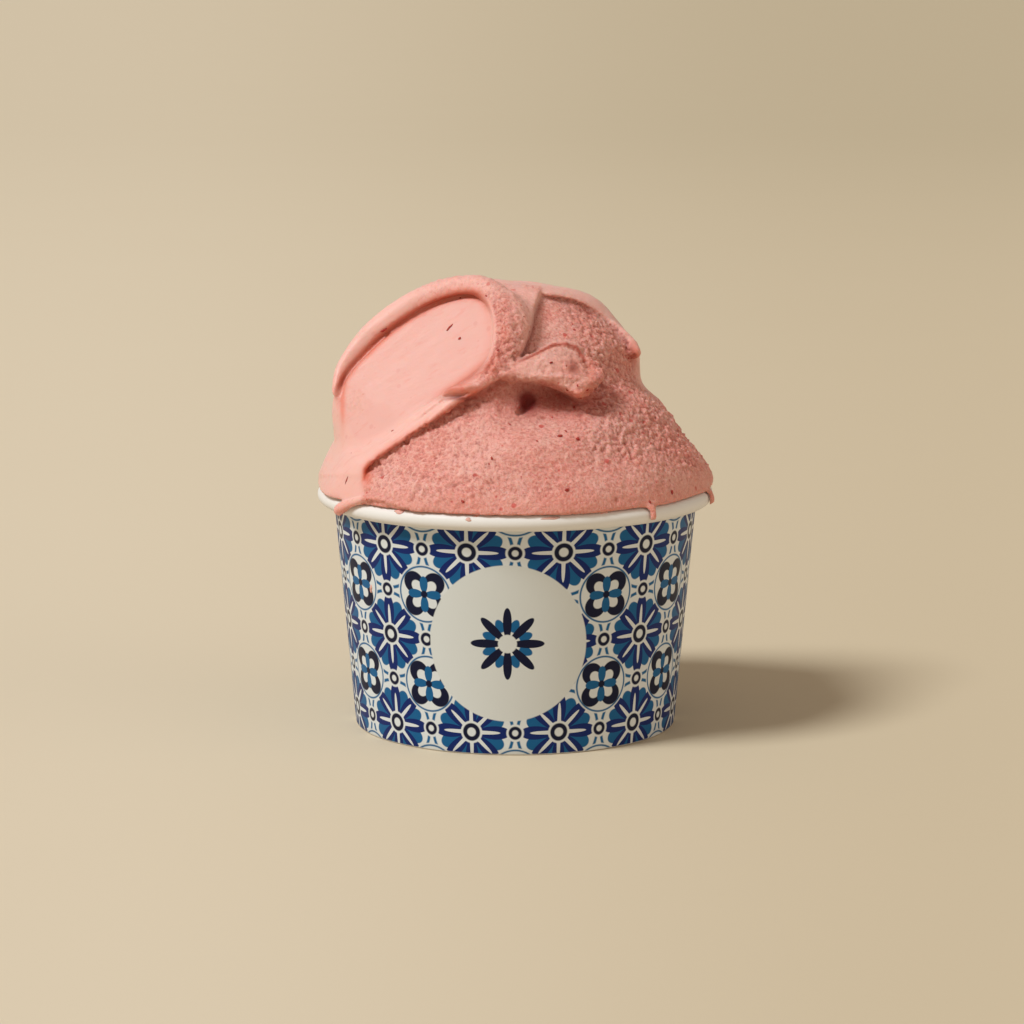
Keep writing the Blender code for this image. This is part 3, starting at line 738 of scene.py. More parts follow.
        # Painted glow and shade in the warm mark: the glow of light through the fold's thin edge and the glow
        # spots, and red-tinted painted shade along the lip's inner edge, in the flap's groove, under the flap
        # and beside the fold; the lumps on the lip's flank are tinted too.
        fold_edge_glow = np.exp(-(((fold + 0.2) / 0.6) ** 2)) * ramp(along, 0.08, 0.16) * ramp(along, 0.6, 0.45)
        upper_left = ramp(h, 44.0, 52.0) * ramp(x, -4.0, -10.0)
        inner_lip_shadow = np.exp(-((dish / 1.3) ** 2)) * upper_left
        groove = np.exp(-(((flap + 0.6) / 0.5) ** 2)) * ramp(h, 53.5, 55.0)
        under = spot(places, 7.5, 46.0, 11.0, 4.4) * (1.0 - on_flap) * ramp(fold, 0.2, 1.2)
        beside = fading(fold, 1.8, 2.0) * ramp(fold, -0.2, 0.3)
        beside = beside * ramp(along, 0.12, 0.2) * ramp(along, 0.66, 0.6)
        lumps = spot(places, -5.6, 53.5, 2.0, 4.0) + 0.8 * spot(places, -2.4, 61.0, 1.4, 2.4)
        lumps = np.clip(lumps, 0.0, 1.0) * flank
        warm = 0.5 * fold_edge_glow + 0.95 * inner_lip_shadow + 0.8 * groove + 0.5 * lumps + 0.35 * under + 0.4 * beside
        for place in self.glow_spots:
            warm = warm + 0.65 * spot(places, *place)

        # Painted shade in the deep mark: in the hollow, the curl's slit, the crease, under the cap's edge,
        # along the lip's inner edge, in the flap's pits and groove, under the flap and beside the fold.
        hole = 1.2 * spot(places, 2.8, 45.2, 1.9, 2.3)
        slit = spot(places, -13.2, 45.9, 3.2, 0.6)
        crease = np.exp(-(((fold - 0.4) / 0.6) ** 2)) * ramp(along, 0.64, 0.7) * ramp(h, 73.0, 66.0)
        cap_edge_shadow = np.exp(-(((cap - 0.8) / 0.8) ** 2)) * ramp(x, 5.0, 9.0) * ramp(h, 52.0, 58.0)
        lip_shadow_line = np.exp(-(((dish - 0.1) / 0.7) ** 2)) * upper_left
        pits = spot(places, 13.4, 53.2, 1.3, 2.0) + 0.9 * groove
        deep = hole + 0.5 * under + 0.22 * beside + 0.8 * slit + 0.5 * crease
        deep = deep + 0.3 * cap_edge_shadow + 0.4 * lip_shadow_line + 0.6 * pits

        # The pale mark: on the flap it is painted highlight on the grains; on the dish and on the far side's
        # smooth gelato it tints the smooth colour.
        here = 1.0 - far
        pale = here * (ramp(dish, 0.5, -1.5) + 0.8 * on_flap) + 0.4 * far * (1.0 - rough)
        return {"rough": rough, "coarse": coarse, "warm": np.clip(warm * here, 0.0, 1.0),
                "deep": np.clip(deep, 0.0, 1.0) * here, "pale": np.clip(pale, 0.0, 1.0),
                "low": ramp(points[:, 2], 64.0, 58.5)}


# ---------------------------------------------------------------------------------------------
# Node trees


def plug(tree: bpy.types.NodeTree, socket: bpy.types.NodeSocket, value: object) -> None:
    """Link a wire into a socket, or set the socket to a plain value.

    Args:
        tree: The tree that the socket is in.
        socket: Where the value goes.
        value: A wire, or what the socket is to hold.
    """
    if isinstance(value, Wire):
        tree.links.new(value.socket, socket)
    else:
        socket.default_value = value


@dataclass(frozen=True)
class Wire:
    """A number flowing through a node tree; arithmetic on it adds math nodes."""

    tree: bpy.types.NodeTree
    socket: bpy.types.NodeSocket

    def sibling(self, name: str) -> "Wire":
        """Another output of the node that this wire comes from."""
        return Wire(self.tree, self.socket.node.outputs[name])

    def math(self, operation: str, *others: object) -> "Wire":
        """Add a math node whose first input is this wire."""
        return combine(self.tree, operation, self, *others)

    def __add__(self, other: object) -> "Wire":
        """Add another number."""
        return self.math("ADD", other)

    def __sub__(self, other: object) -> "Wire":
        """Take another number away."""
        return self.math("SUBTRACT", other)

    def __rsub__(self, other: float) -> "Wire":
        """Take this away from a plain number."""
        return combine(self.tree, "SUBTRACT", other, self)

    def __mul__(self, other: object) -> "Wire":
        """Multiply by another number."""
        return self.math("MULTIPLY", other)

    def __truediv__(self, other: object) -> "Wire":
        """Divide by another number."""
        return self.math("DIVIDE", other)

    __radd__ = __add__
    __rmul__ = __mul__

    def either(self, other: object) -> "Wire":
        """The larger of this and another."""
        return self.math("MAXIMUM", other)

    def both(self, other: object) -> "Wire":
        """The smaller of this and another."""
        return self.math("MINIMUM", other)

    def step(self, start: float, end: float, low: float = 0.0, high: float = 1.0) -> "Wire":
        """Step smoothly from one value to another.

        Args:
            start: Where the step starts.
            end: Where it ends, above or below the start.
            low: The value at the start.
            high: The value at the end.

        Returns:
            The stepped value.
        """
        first, last = (low, high) if start < end else (high, low)
        values = {"Value": self, "From Min": min(start, end), "From Max": max(start, end),
                  "To Min": first, "To Max": last}
        return add_node(self.tree, "ShaderNodeMapRange", values, "Result", interpolation_type="SMOOTHSTEP")


def combine(tree: bpy.types.NodeTree, operation: str, *values: object) -> Wire:
    """Add a math node.

    Args:
        tree: The tree to add it to.
        operation: The node's operation.
        values: Wires or numbers.

    Returns:
        The result.
    """
    return add_node(tree, "ShaderNodeMath", dict(enumerate(values)), operation=operation)


def add_node(tree: bpy.types.NodeTree, kind: str, inputs: dict[str | int, object] | None = None,
             output: str | int = 0, **settings: object) -> Wire:
    """Add a node with its inputs and settings.

    Args:
        tree: The tree to add it to.
        kind: The node's type.
        inputs: Wires or values by the input's name or number.
        output: The output to return.
        settings: The node's own settings.

    Returns:
        The chosen output.
    """
    node = tree.nodes.new(kind)
    for name, value in settings.items():
        setattr(node, name, value)
    for name, value in (inputs or {}).items():
        plug(tree, node.inputs[name], value)
    return Wire(tree, node.outputs[output])


def add_group(tree: bpy.types.NodeTree, group: bpy.types.NodeTree,
              inputs: dict[str, object]) -> bpy.types.Node:
    """Add a shader group to a tree.

    Args:
        tree: The tree to add it to.
        group: The group.
        inputs: Wires or values by input name.

    Returns:
        The group's node.
    """
    node = tree.nodes.new("ShaderNodeGroup")
    node.node_tree = group
    for name, value in inputs.items():
        plug(tree, node.inputs[name], value)
    return node


def new_tree(name: str, kind: str, takes: dict[str, str], gives: dict[str, str]) -> bpy.types.NodeTree:
    """Make a node tree with the sockets that it takes and gives.

    Args:
        name: The tree's name.
        kind: Its type.
        takes: Kinds of socket by input name.
        gives: Kinds of socket by output name.

    Returns:
        The tree.
    """
    tree = bpy.data.node_groups.new(name, kind)
    for way, sockets in (("INPUT", takes), ("OUTPUT", gives)):
        for socket, socket_kind in sockets.items():
            tree.interface.new_socket(name=socket, in_out=way, socket_type=f"NodeSocket{socket_kind}")
    return tree


def given_wires(tree: bpy.types.NodeTree) -> list[Wire]:
    """Add the node that holds what a tree takes, and return a wire for each input."""
    node = tree.nodes.new("NodeGroupInput")
    return [Wire(tree, socket) for socket in list(node.outputs)[:-1]]


def new_material(name: str) -> tuple[bpy.types.Material, bpy.types.NodeTree, bpy.types.Node]:
    """Make a material.

    Args:
        name: Its name.

    Returns:
        The material, its node tree and its shader.
    """
    material = bpy.data.materials.new(name)
    material.use_nodes = True
    tree = material.node_tree
    return material, tree, tree.nodes["Principled BSDF"]


def dress(tree: bpy.types.NodeTree, shader: bpy.types.Node, colour: Wire, roughness: Wire, height: Wire,
          depth: float) -> None:
    """Give a shader its colour, its roughness and a bump.

    Args:
        tree: The material's tree.
        shader: Its shader.
        colour: The colour.
        roughness: The roughness.
        height: The bump's height.
        depth: How deep a height of 1 is.
    """
    bump = {"Height": height, "Distance": depth, "Strength": 1.0}
    normal = add_node(tree, "ShaderNodeBump", bump, "Normal")
    plug(tree, shader.inputs["Base Color"], colour)
    plug(tree, shader.inputs["Roughness"], roughness)
    plug(tree, shader.inputs["Normal"], normal)


def object_place(tree: bpy.types.NodeTree) -> Wire:
    """Read where a point is in its piece's own space."""
    return add_node(tree, "ShaderNodeTexCoord", output="Object")


def axis_of(tree: bpy.types.NodeTree, vector: Wire, axis: str) -> Wire:
    """Take one axis, X, Y or Z, out of a vector."""
    return add_node(tree, "ShaderNodeSeparateXYZ", {"Vector": vector}, axis)


def vector_math(tree: bpy.types.NodeTree, operation: str, first: Wire, second: object) -> Wire:
    """Add a vector math node."""
    return add_node(tree, "ShaderNodeVectorMath", {0: first, 1: second}, operation=operation)


def stretched(tree: bpy.types.NodeTree, place: Wire, scale: tuple[float, ...],
              turn: tuple[float, ...]) -> Wire:
    """Turn and stretch a position.

    Args:
        tree: The tree to add to.
        place: The position.
        scale: Factors along the three axes.
        turn: Rotation in radians.

    Returns:
        The new position.
    """
    values = {"Vector": place, "Rotation": turn}
    turned = add_node(tree, "ShaderNodeVectorRotate", values, rotation_type="EULER_XYZ")
    return vector_math(tree, "MULTIPLY", turned, scale)


def noise(tree: bpy.types.NodeTree, place: Wire, scale: float, detail: float = 2.0,
          roughness: float = 0.5) -> Wire:
    """Add smooth noise.

    Args:
        tree: The tree to add to.
        place: Where to read it.
        scale: How many features fit a metre.
        detail: Finer layers on top.
        roughness: How strong the finer layers are.

    Returns:
        Values around 0.5.
    """
    values = {"Vector": place, "Scale": scale, "Detail": detail, "Roughness": roughness}
    return add_node(tree, "ShaderNodeTexNoise", values, "Fac")


def cells(tree: bpy.types.NodeTree, place: Wire, scale: float) -> tuple[Wire, Wire]:
    """Add a pattern of uneven cells.

    Args:
        tree: The tree to add to.
        place: Where to read it.
        scale: How many cells fit a metre.

    Returns:
        Distance to the nearest cell's middle, about 0 to 0.7, and a chance value for each cell.
    """
    distance = add_node(tree, "ShaderNodeTexVoronoi", {"Vector": place, "Scale": scale}, "Distance")
    return distance, axis_of(tree, distance.sibling("Color"), "X")


def tinted(tree: bpy.types.NodeTree, share: Wire, under: object, over: object) -> Wire:
    """Mix two colours.

    Args:
        tree: The tree to add to.
        share: How much of the second, 0 to 1.
        under: The first colour.
        over: The second colour.

    Returns:
        The mixed colour.
    """
    first, second = (colour if isinstance(colour, Wire) else (*colour, 1.0) for colour in (under, over))
    return add_node(tree, "ShaderNodeMix", {0: share, 6: first, 7: second}, 2, data_type="RGBA")


# Warm, Deep and, on the flap, Pale carry painted glow, shade and highlight into the gelato's colour.
MARKS = ("Rough", "Coarse", "Warm", "Deep", "Pale", "Low", "Relief")


@dataclass(frozen=True)
class GelatoColours:
    """The gelato's colours, linear red, green and blue."""

    rough: Colour = (0.735, 0.285, 0.235)
    smooth: Colour = (0.81, 0.465, 0.405)
    pale: Colour = (0.745, 0.40, 0.345)
    # A lighter tone among the grains, and painted highlight on raised grains and on the flap.
    grain: Colour = (0.84, 0.51, 0.43)
    # Painted glow of light through thin edges, and the red tint of painted shade under the lip, the flap and
    # the fold.
    warm: Colour = (0.72, 0.165, 0.095)
    # Painted shade in hollows, creases and grooves; the berry streaks also take some of it as a darker red.
    deep: Colour = (0.20, 0.025, 0.02)
    # Painted shade in pits and between grains.
    pit: Colour = (0.42, 0.10, 0.075)
    berry: Colour = (0.55, 0.045, 0.035)
    low: Colour = (0.74, 0.30, 0.235)


BERRY_COLOURS = GelatoColours(rough=(0.42, 0.04, 0.03), smooth=(0.42, 0.04, 0.03), pale=(0.5, 0.06, 0.04),
                              grain=(0.62, 0.1, 0.07), pit=(0.16, 0.012, 0.012))


class GelatoLook:
    """The shader group that gives gelato its colour, with painted glow, highlight and shade, its sheen and
    fine grain.
    """

    def __init__(self, colours: GelatoColours) -> None:
        """Build the group.

        Args:
            colours: What to colour it with.
        """
        self.colours = colours
        takes = {**dict.fromkeys(MARKS, "Float"), "Place": "Vector"}
        gives = {"Color": "Color", "Roughness": "Float", "Height": "Float"}
        self.tree = new_tree("gelato_look", "ShaderNodeTree", takes, gives)
        self._wire_up()

    def _wire_up(self) -> None:
        """Add the group's nodes."""
        tree = self.tree
        rough, coarse, warm, deep, pale, low, relief, place = given_wires(tree)
        colours = self.colours

        broad = noise(tree, place, 90.0, 3.0, 0.55)
        mottle = noise(tree, place, 620.0, 4.0, 0.7)
        fine = noise(tree, place, 1500.0, 3.0, 0.7)
        streak = noise(tree, stretched(tree, place, (0.16, 1.0, 1.0), (0.0, 0.72, 0.3)), 900.0, 3.0, 0.6)
        grain, chance = cells(tree, place, 900.0)
        berry, berry_chance = cells(tree, place, 330.0)
        speck, speck_chance = cells(tree, place, 700.0)

        smooth = tinted(tree, pale, colours.smooth, colours.pale)
        smooth = tinted(tree, streak.step(0.56, 0.72) * 0.35, smooth, colours.rough)
        crumb = tinted(tree, broad.step(0.35, 0.65) * 0.5, colours.rough, colours.smooth)
        crumb = tinted(tree, mottle.step(0.50, 0.66) * 0.3, crumb, colours.grain)
        crumb = tinted(tree, mottle.step(0.46, 0.33) * 0.25, crumb, colours.pit)
        # Painted highlight and shade at grain scale: fine noise and the relief's raised places lighten
        # towards the grain colour; fine noise, coarse grain and the relief's sunk places darken towards the
        # pit colour; on the flap the pale mark adds painted highlight.
        crumb = tinted(tree, fine.step(0.50, 0.64) * 0.55, crumb, colours.grain)
        pitted = fine.step(0.47, 0.36) * 0.58 * coarse.step(0.0, 1.0, 0.8, 1.0)
        crumb = tinted(tree, pitted, crumb, colours.pit)
        crumb = tinted(tree, coarse * 0.12, crumb, colours.pit)
        crumb = tinted(tree, pale * 0.45, crumb, colours.grain)
        crumb = tinted(tree, relief.step(0.05, 0.40) * 0.4, crumb, colours.grain)
        crumb = tinted(tree, relief.step(-0.08, -0.40) * 0.5, crumb, colours.pit)
        colour = tinted(tree, rough, smooth, crumb)
        colour = tinted(tree, low * rough.step(0.0, 1.0, 0.15, 0.5), colour, colours.low)
        # Painted glow of light through thin edges, and painted shade, from the warm mark.
        colour = tinted(tree, warm * broad.step(0.3, 0.6, 0.6, 1.0), colour, colours.warm)
        fleck = berry.step(0.26, 0.16) * (berry_chance + coarse * 0.06 - 0.86).math("GREATER_THAN", 0.0)
        dot = speck.step(0.24, 0.14) * (speck_chance - 0.9).math("GREATER_THAN", 0.0)
        spots = (fleck * 0.7 + dot * 0.6) * rough.step(0.0, 1.0, 0.18, 1.0)
        colour = tinted(tree, spots.both(1.0), colour, colours.berry)
        # Painted shade from the deep mark.
        colour = tinted(tree, deep, colour, colours.deep)

        sheen = 0.42 + rough * 0.2 + (mottle - 0.5) * 0.25 - low * 0.12 - warm * 0.1
        bumps = rough * ((fine - 0.5) * 0.9 + (0.45 - grain) * (0.25 + coarse * 0.5) + (chance - 0.5) * 0.1)
        height = bumps + (1.0 - rough) * ((streak - 0.5) * 0.10 + (fine - 0.5) * 0.08)

        result = tree.nodes.new("NodeGroupOutput")
        plug(tree, result.inputs["Color"], colour)
        plug(tree, result.inputs["Roughness"], sheen)
        plug(tree, result.inputs["Height"], height)


@dataclass(frozen=True)
class GelatoFinish:
    """The gelato's material, with its bump and the light's reach inside it in metres."""

    look: GelatoLook
    bump_depth: float = 0.00045
    scatter: float = 0.0013
    scatter_weight: float = 0.45
    scatter_spread: tuple[float, float, float] = (1.0, 0.38, 0.24)
    refraction: float = 1.38
    shine: float = 0.38

    def make(self, name: str, fixed: dict[str, float] | None = None) -> bpy.types.Material:
        """Make the material.

        Args:
            name: What to call it.
            fixed: Marks to hold still, the others being 0; without it they come from the mesh.

        Returns:
            The material.
        """
        material, tree, shader = new_material(name)
        marks = {}
        for mark in MARKS:
            if fixed is None:
                marks[mark] = add_node(tree, "ShaderNodeAttribute", output="Fac", attribute_name=mark.lower())
            else:
                marks[mark] = fixed.get(mark.lower(), 0.0)
        group = add_group(tree, self.look.tree, {**marks, "Place": object_place(tree)})
        colour, sheen, height = (Wire(tree, group.outputs[kind]) for kind in ("Color", "Roughness", "Height"))
        dress(tree, shader, colour, sheen, height, self.bump_depth)
        shader.inputs["Subsurface Weight"].default_value = self.scatter_weight
        shader.inputs["Subsurface Radius"].default_value = self.scatter_spread
        shader.inputs["Subsurface Scale"].default_value = self.scatter
        shader.inputs["IOR"].default_value = self.refraction
        shader.inputs["Specular IOR Level"].default_value = self.shine
        return material


PAPER_BUMP = 0.00003


class PaperGrain:
    """The shader group that gives paperboard its faint fibres."""

    def __init__(self) -> None:
        """Build the group."""
        self.tree = tree = new_tree("paper_grain", "ShaderNodeTree", {"Place": "Vector"},
                                    {"Tone": "Float", "Height": "Float"})
        place = given_wires(tree)[0]
        cloud = noise(tree, place, 60.0, 3.0)
        fibre = noise(tree, vector_math(tree, "MULTIPLY", place, (1.0, 1.0, 0.4)), 2600.0, 2.0, 0.6)
        result = tree.nodes.new("NodeGroupOutput")
        plug(tree, result.inputs["Tone"], (cloud - 0.5) * 0.6 + (fibre - 0.5) * 0.5 + 0.5)
        plug(tree, result.inputs["Height"], fibre * 0.6 + cloud * 0.4)

    def wires(self, tree: bpy.types.NodeTree) -> tuple[Wire, Wire]:
        """Add the grain to a material.

        Args:
            tree: The material's tree.

        Returns:
            Its tone and its height.
        """
        group = add_group(tree, self.tree, {"Place": object_place(tree)})
        return Wire(tree, group.outputs["Tone"]), Wire(tree, group.outputs["Height"])


@dataclass(frozen=True)
class Inks:
    """The print's colours, linear red, green and blue."""

    panel: Colour = (0.64, 0.66, 0.63)
    paper: Colour = (0.68, 0.71, 0.71)
    shade: Colour = (0.64, 0.66, 0.65)
    rim: Colour = (0.78, 0.755, 0.72)
    cut: Colour = (0.50, 0.46, 0.39)
    navy: Colour = (0.004, 0.006, 0.028)
    cobalt: Colour = (0.005, 0.018, 0.125)
    teal: Colour = (0.008, 0.105, 0.26)


TILE_EDGE = 0.012


@dataclass(frozen=True)
class Around:
    """Places measured from a middle, across and up."""

    across: Wire
    up: Wire

    @cached_property
    def radius(self) -> Wire:
        """The distance from the middle."""
        return (self.across * self.across + self.up * self.up).math("SQRT")

    def disc(self, size: float, edge: float = TILE_EDGE) -> Wire:
        """Draw a disc of a size, with an edge that is a little soft."""
        return ((size - self.radius) / edge + 0.5).both(1.0).either(0.0)

    def ring(self, outer: float, inner: float) -> Wire:
        """Draw a ring between two sizes."""
        return self.disc(outer) - self.disc(inner)


@dataclass(frozen=True)
class Petals:
    """A rosette's petals: how many, how far turned, their reach, where they meet, and how thin they are."""

    count: int
    turn: float
    reach: float
    waist: float
    thinness: float


class Motif:
    """A shader group that draws a rosette of petals round a middle, as a mask."""

    names = ("Across", "Up", "Petals", "Turn", "Reach", "Waist", "Thinness", "Edge")

    def __init__(self) -> None:
        """Build the group."""
        takes = dict.fromkeys(self.names, "Float")
        self.tree = tree = new_tree("rosette", "ShaderNodeTree", takes, {"Mask": "Float"})
        across, up, petals, turn, reach, waist, thinness, edge = given_wires(tree)
        radius = (across * across + up * up).math("SQRT")
        angle = up.math("ARCTAN2", across) + turn
        wave = (angle * petals * 0.5).math("COSINE").math("ABSOLUTE").math("POWER", thinness)
        limit = waist + (reach - waist) * wave
        result = tree.nodes.new("NodeGroupOutput")
        plug(tree, result.inputs["Mask"], ((limit - radius) / edge + 0.5).both(1.0).either(0.0))

    def draw(self, place: Around, petals: Petals, edge: float = TILE_EDGE) -> Wire:
        """Draw a rosette.

        Args:
            place: Places measured from the rosette's middle.
            petals: Its petals.
            edge: How soft its edge is.

        Returns:
            The rosette's mask.
        """
        tree = place.across.tree
        shape = (float(petals.count), petals.turn, petals.reach, petals.waist, petals.thinness)
        node = add_group(tree, self.tree, dict(zip(self.names, (place.across, place.up, *shape, edge))))
        return Wire(tree, node.outputs["Mask"])


@dataclass(frozen=True)
class PrintedBoard:
    """The cup's printed paperboard: rosettes and quatrefoils on tiles, and a round panel with a sprig.

    A tile's figures are measured in shares of the tile, and the panel and its sprig in millimetres.
    """

    cup: CupSizes
    grain: PaperGrain
    motif: Motif
    inks: Inks = Inks()
    tiles: int = 12
    back_petals: Petals = Petals(8, math.pi / 8, 0.40, 0.22, 0.8)
    front_petals: Petals = Petals(8, 0.0, 0.445, 0.14, 1.0)
    veins: Petals = Petals(8, 0.0, 0.33, 0.12, 12.0)
    quatrefoil: Petals = Petals(4, math.pi / 4, 0.30, 0.13, 0.7)
    quatrefoil_hearts: Petals = Petals(4, math.pi / 4, 0.19, 0.06, 1.0)
    quatrefoil_cross: Petals = Petals(4, 0.0, 0.20, 0.03, 1.6)
    panel_turn: float = 5.917
    panel_height: float = 27.0
    panel_radius: float = 18.7
    panel_edge: float = 0.25
    sprig: Petals = Petals(8, 0.0, 8.6, 1.2, 1.8)
    sprig_back: Petals = Petals(8, math.pi / 8, 6.2, 2.4, 1.0)

    def make(self) -> bpy.types.Material:
        """Make the material, which reads the mesh's print map and its printed and raw marks.

        Returns:
            The material.
        """
        material, tree, shader = new_material("printed_board")
        uv = add_node(tree, "ShaderNodeUVMap", uv_map="print")
        u, v = axis_of(tree, uv, "X"), axis_of(tree, uv, "Y")
        tone, height = self.grain.wires(tree)
        raw = add_node(tree, "ShaderNodeAttribute", output="Fac", attribute_name="raw")
        printed = add_node(tree, "ShaderNodeAttribute", output="Fac", attribute_name="printed")
        inks = self.inks
        fibre = tone.step(0.3, 0.8) * 0.5
        paper = tinted(tree, (fibre + raw * 0.5).both(1.0), inks.paper, inks.shade)
        panel = tinted(tree, fibre, inks.panel, inks.shade)
        colour = self._with_panel(tree, u, v, self._tiled(tree, u, v, paper), panel)
        colour = tinted(tree, printed * (1.0 - raw), tinted(tree, raw, inks.rim, inks.cut), colour)
        dress(tree, shader, colour, 0.42 + (tone - 0.5) * 0.2, height, PAPER_BUMP)
        shader.inputs["Specular IOR Level"].default_value = 0.15
        return material

    def _tiled(self, tree: bpy.types.NodeTree, u: Wire, v: Wire, paper: Wire) -> Wire:
        """Print the tiles: a rosette in the middle of each, quatrefoils where four meet.

        Args:
            tree: The material's tree.
            u: Tiles across.
            v: Tiles up.
            paper: The bare paper's colour.

        Returns:
            The colour.
        """
        across, up = u.math("FRACT") - 0.5, (v + 0.5).math("FRACT") - 0.5
        across_corner, up_corner = (u + 0.5).math("FRACT") - 0.5, v.math("FRACT") - 0.5
        middle, corner = Around(across, up), Around(across_corner, up_corner)
        side, top = Around(across_corner, up), Around(across, up_corner)
        inks, draw = self.inks, self.motif.draw
        layers = (
            (middle.ring(0.4925, 0.4575), inks.teal),
            (draw(middle, self.back_petals), inks.teal),
            (draw(middle, self.front_petals), inks.cobalt),
            (draw(middle, self.veins), paper),
            (middle.disc(0.125), paper),
            (middle.disc(0.10), inks.navy),
            (middle.disc(0.05), paper),
            (corner.disc(0.33), paper),
            (corner.ring(0.315, 0.295), inks.teal),
            (draw(corner, self.quatrefoil), inks.navy),
            (draw(corner, self.quatrefoil_hearts), paper),
            (draw(corner, self.quatrefoil_cross), inks.teal),
            (corner.disc(0.04), inks.navy),
            (side.disc(0.10).either(top.disc(0.10)), paper),
            ((side.ring(0.075, 0.035) + top.ring(0.075, 0.035)).both(1.0), inks.navy),
        )
        colour = paper  # each layer is printed over those before it
        for mask, ink in layers:
            colour = tinted(tree, mask, colour, ink)
        return colour

    def _with_panel(self, tree: bpy.types.NodeTree, u: Wire, v: Wire, colour: Wire, bare: Wire) -> Wire:
        """Lay the round panel with its sprig over the tiles.

        Args:
            tree: The material's tree.
            u: Tiles across.
            v: Tiles up.
            colour: The tiles' colour.
            bare: The panel's own colour.

        Returns:
            The colour.
        """
        board_radius = self.cup.wall_radius(v * self._tile_height() + self.panel_height)
        turn = 2.0 * math.pi / self.tiles
        place = Around((u - self.panel_turn) * turn * board_radius, v * self._tile_height())
        edge = self.panel_edge
        colour = tinted(tree, place.disc(self.panel_radius, edge), colour, bare)
        back = self.motif.draw(place, self.sprig_back, edge) * (1.0 - place.disc(3.0, edge))
        colour = tinted(tree, back, colour, self.inks.teal)
        front = self.motif.draw(place, self.sprig, edge) * (1.0 - place.disc(2.2, edge))
        return tinted(tree, front, colour, self.inks.navy)

    def _tile_height(self) -> float:
        """A tile's height in millimetres, the same as its width half way up the wall."""
        return 2.0 * math.pi / self.tiles * self.cup.wall_radius(self.panel_height)

    def place(self, angle: np.ndarray, height: np.ndarray) -> np.ndarray:
        """Place points on the print map.

        Args:
            angle: Radians round the cup from its back.
            height: Height above the foot.

        Returns:
            Rows of tiles across from the cup's back and tiles up from the panel's middle.
        """
        across = angle * self.tiles / (2.0 * math.pi)
        return np.stack([across, (height - self.panel_height) / self._tile_height()], axis=-1)


@dataclass(frozen=True)
class PlainBoard:
    """The base's plain paperboard."""

    grain: PaperGrain
    light: Colour = (0.78, 0.77, 0.72)
    dark: Colour = (0.68, 0.66, 0.60)

    def make(self) -> bpy.types.Material:
        """Make the material.

        Returns:
            The material.
        """
        material, tree, shader = new_material("plain_board")
        tone, height = self.grain.wires(tree)
        colour = tinted(tree, tone.step(0.3, 0.8), self.light, self.dark)
        dress(tree, shader, colour, 0.6 + (tone - 0.5) * 0.2, height, PAPER_BUMP)
        return material


# ---------------------------------------------------------------------------------------------
# Meshes


def make_object(name: str, vertices: np.ndarray,
                faces: np.ndarray | list[tuple[int, ...]]) -> bpy.types.Object:
    """Make a smooth-shaded piece from points in millimetres.

    Args:
        name: The piece's name.
        vertices: Rows of x, y, z.
        faces: Rows of vertex numbers, facing outward.

    Returns:
        The piece.
    """
    mesh = bpy.data.meshes.new(name)
    mesh.from_pydata((vertices * MM).tolist(), [], [tuple(int(i) for i in face) for face in faces])
    mesh.shade_smooth()
    piece = bpy.data.objects.new(name, mesh)
    bpy.context.scene.collection.objects.link(piece)
    return piece


def set_mark(mesh: bpy.types.Mesh, name: str, values: np.ndarray) -> None:
    """Store a value for each vertex.

    Args:
        mesh: The mesh.
        name: The value's name.
        values: One for each vertex.
    """
    attribute = mesh.attributes.new(name, "FLOAT", "POINT")
    attribute.data.foreach_set("value", np.asarray(values, dtype=np.float32))


def made_plain(piece: bpy.types.Object) -> None:
    """Turn a piece with modifiers into a plain mesh.

    Args:
        piece: The piece, whose modifiers are used up.
    """
    bpy.context.view_layer.update()
    graph = bpy.context.evaluated_depsgraph_get()
    mesh = bpy.data.meshes.new_from_object(piece.evaluated_get(graph))
    piece.modifiers.clear()
    piece.data = mesh


def add_tree_modifier(piece: bpy.types.Object, tree: bpy.types.NodeTree, values: dict[str, object]) -> None:
    """Add a geometry nodes modifier and set its inputs.

    Args:
        piece: What to add it to.
        tree: The node tree.
        values: Values by input name.
    """
    modifier = piece.modifiers.new(tree.name, "NODES")
    modifier.node_group = tree
    for item in tree.interface.items_tree:
        if item.item_type == "SOCKET" and item.in_out == "INPUT" and item.name in values:
            modifier[item.identifier] = values[item.name]


def drop_bubbles(mesh: bpy.types.Mesh) -> None:
    """Keep a mesh's biggest skin and drop any others shut inside it.

    Args:
        mesh: The mesh to clean.
    """
    sculpt = bmesh.new()
    sculpt.from_mesh(mesh)
    unseen = set(sculpt.verts)
    skins = []
    while unseen:
        skin = set()
        waiting = [unseen.pop()]
        while waiting:
            vertex = waiting.pop()
            skin.add(vertex)
            for edge in vertex.link_edges:
                other = edge.other_vert(vertex)
                if other in unseen:
                    unseen.remove(other)
                    waiting.append(other)
        skins.append(skin)
    skins.sort(key=len)
    for skin in skins[:-1]:
        bmesh.ops.delete(sculpt, geom=list(skin), context="VERTS")
    sculpt.to_mesh(mesh)
    sculpt.free()


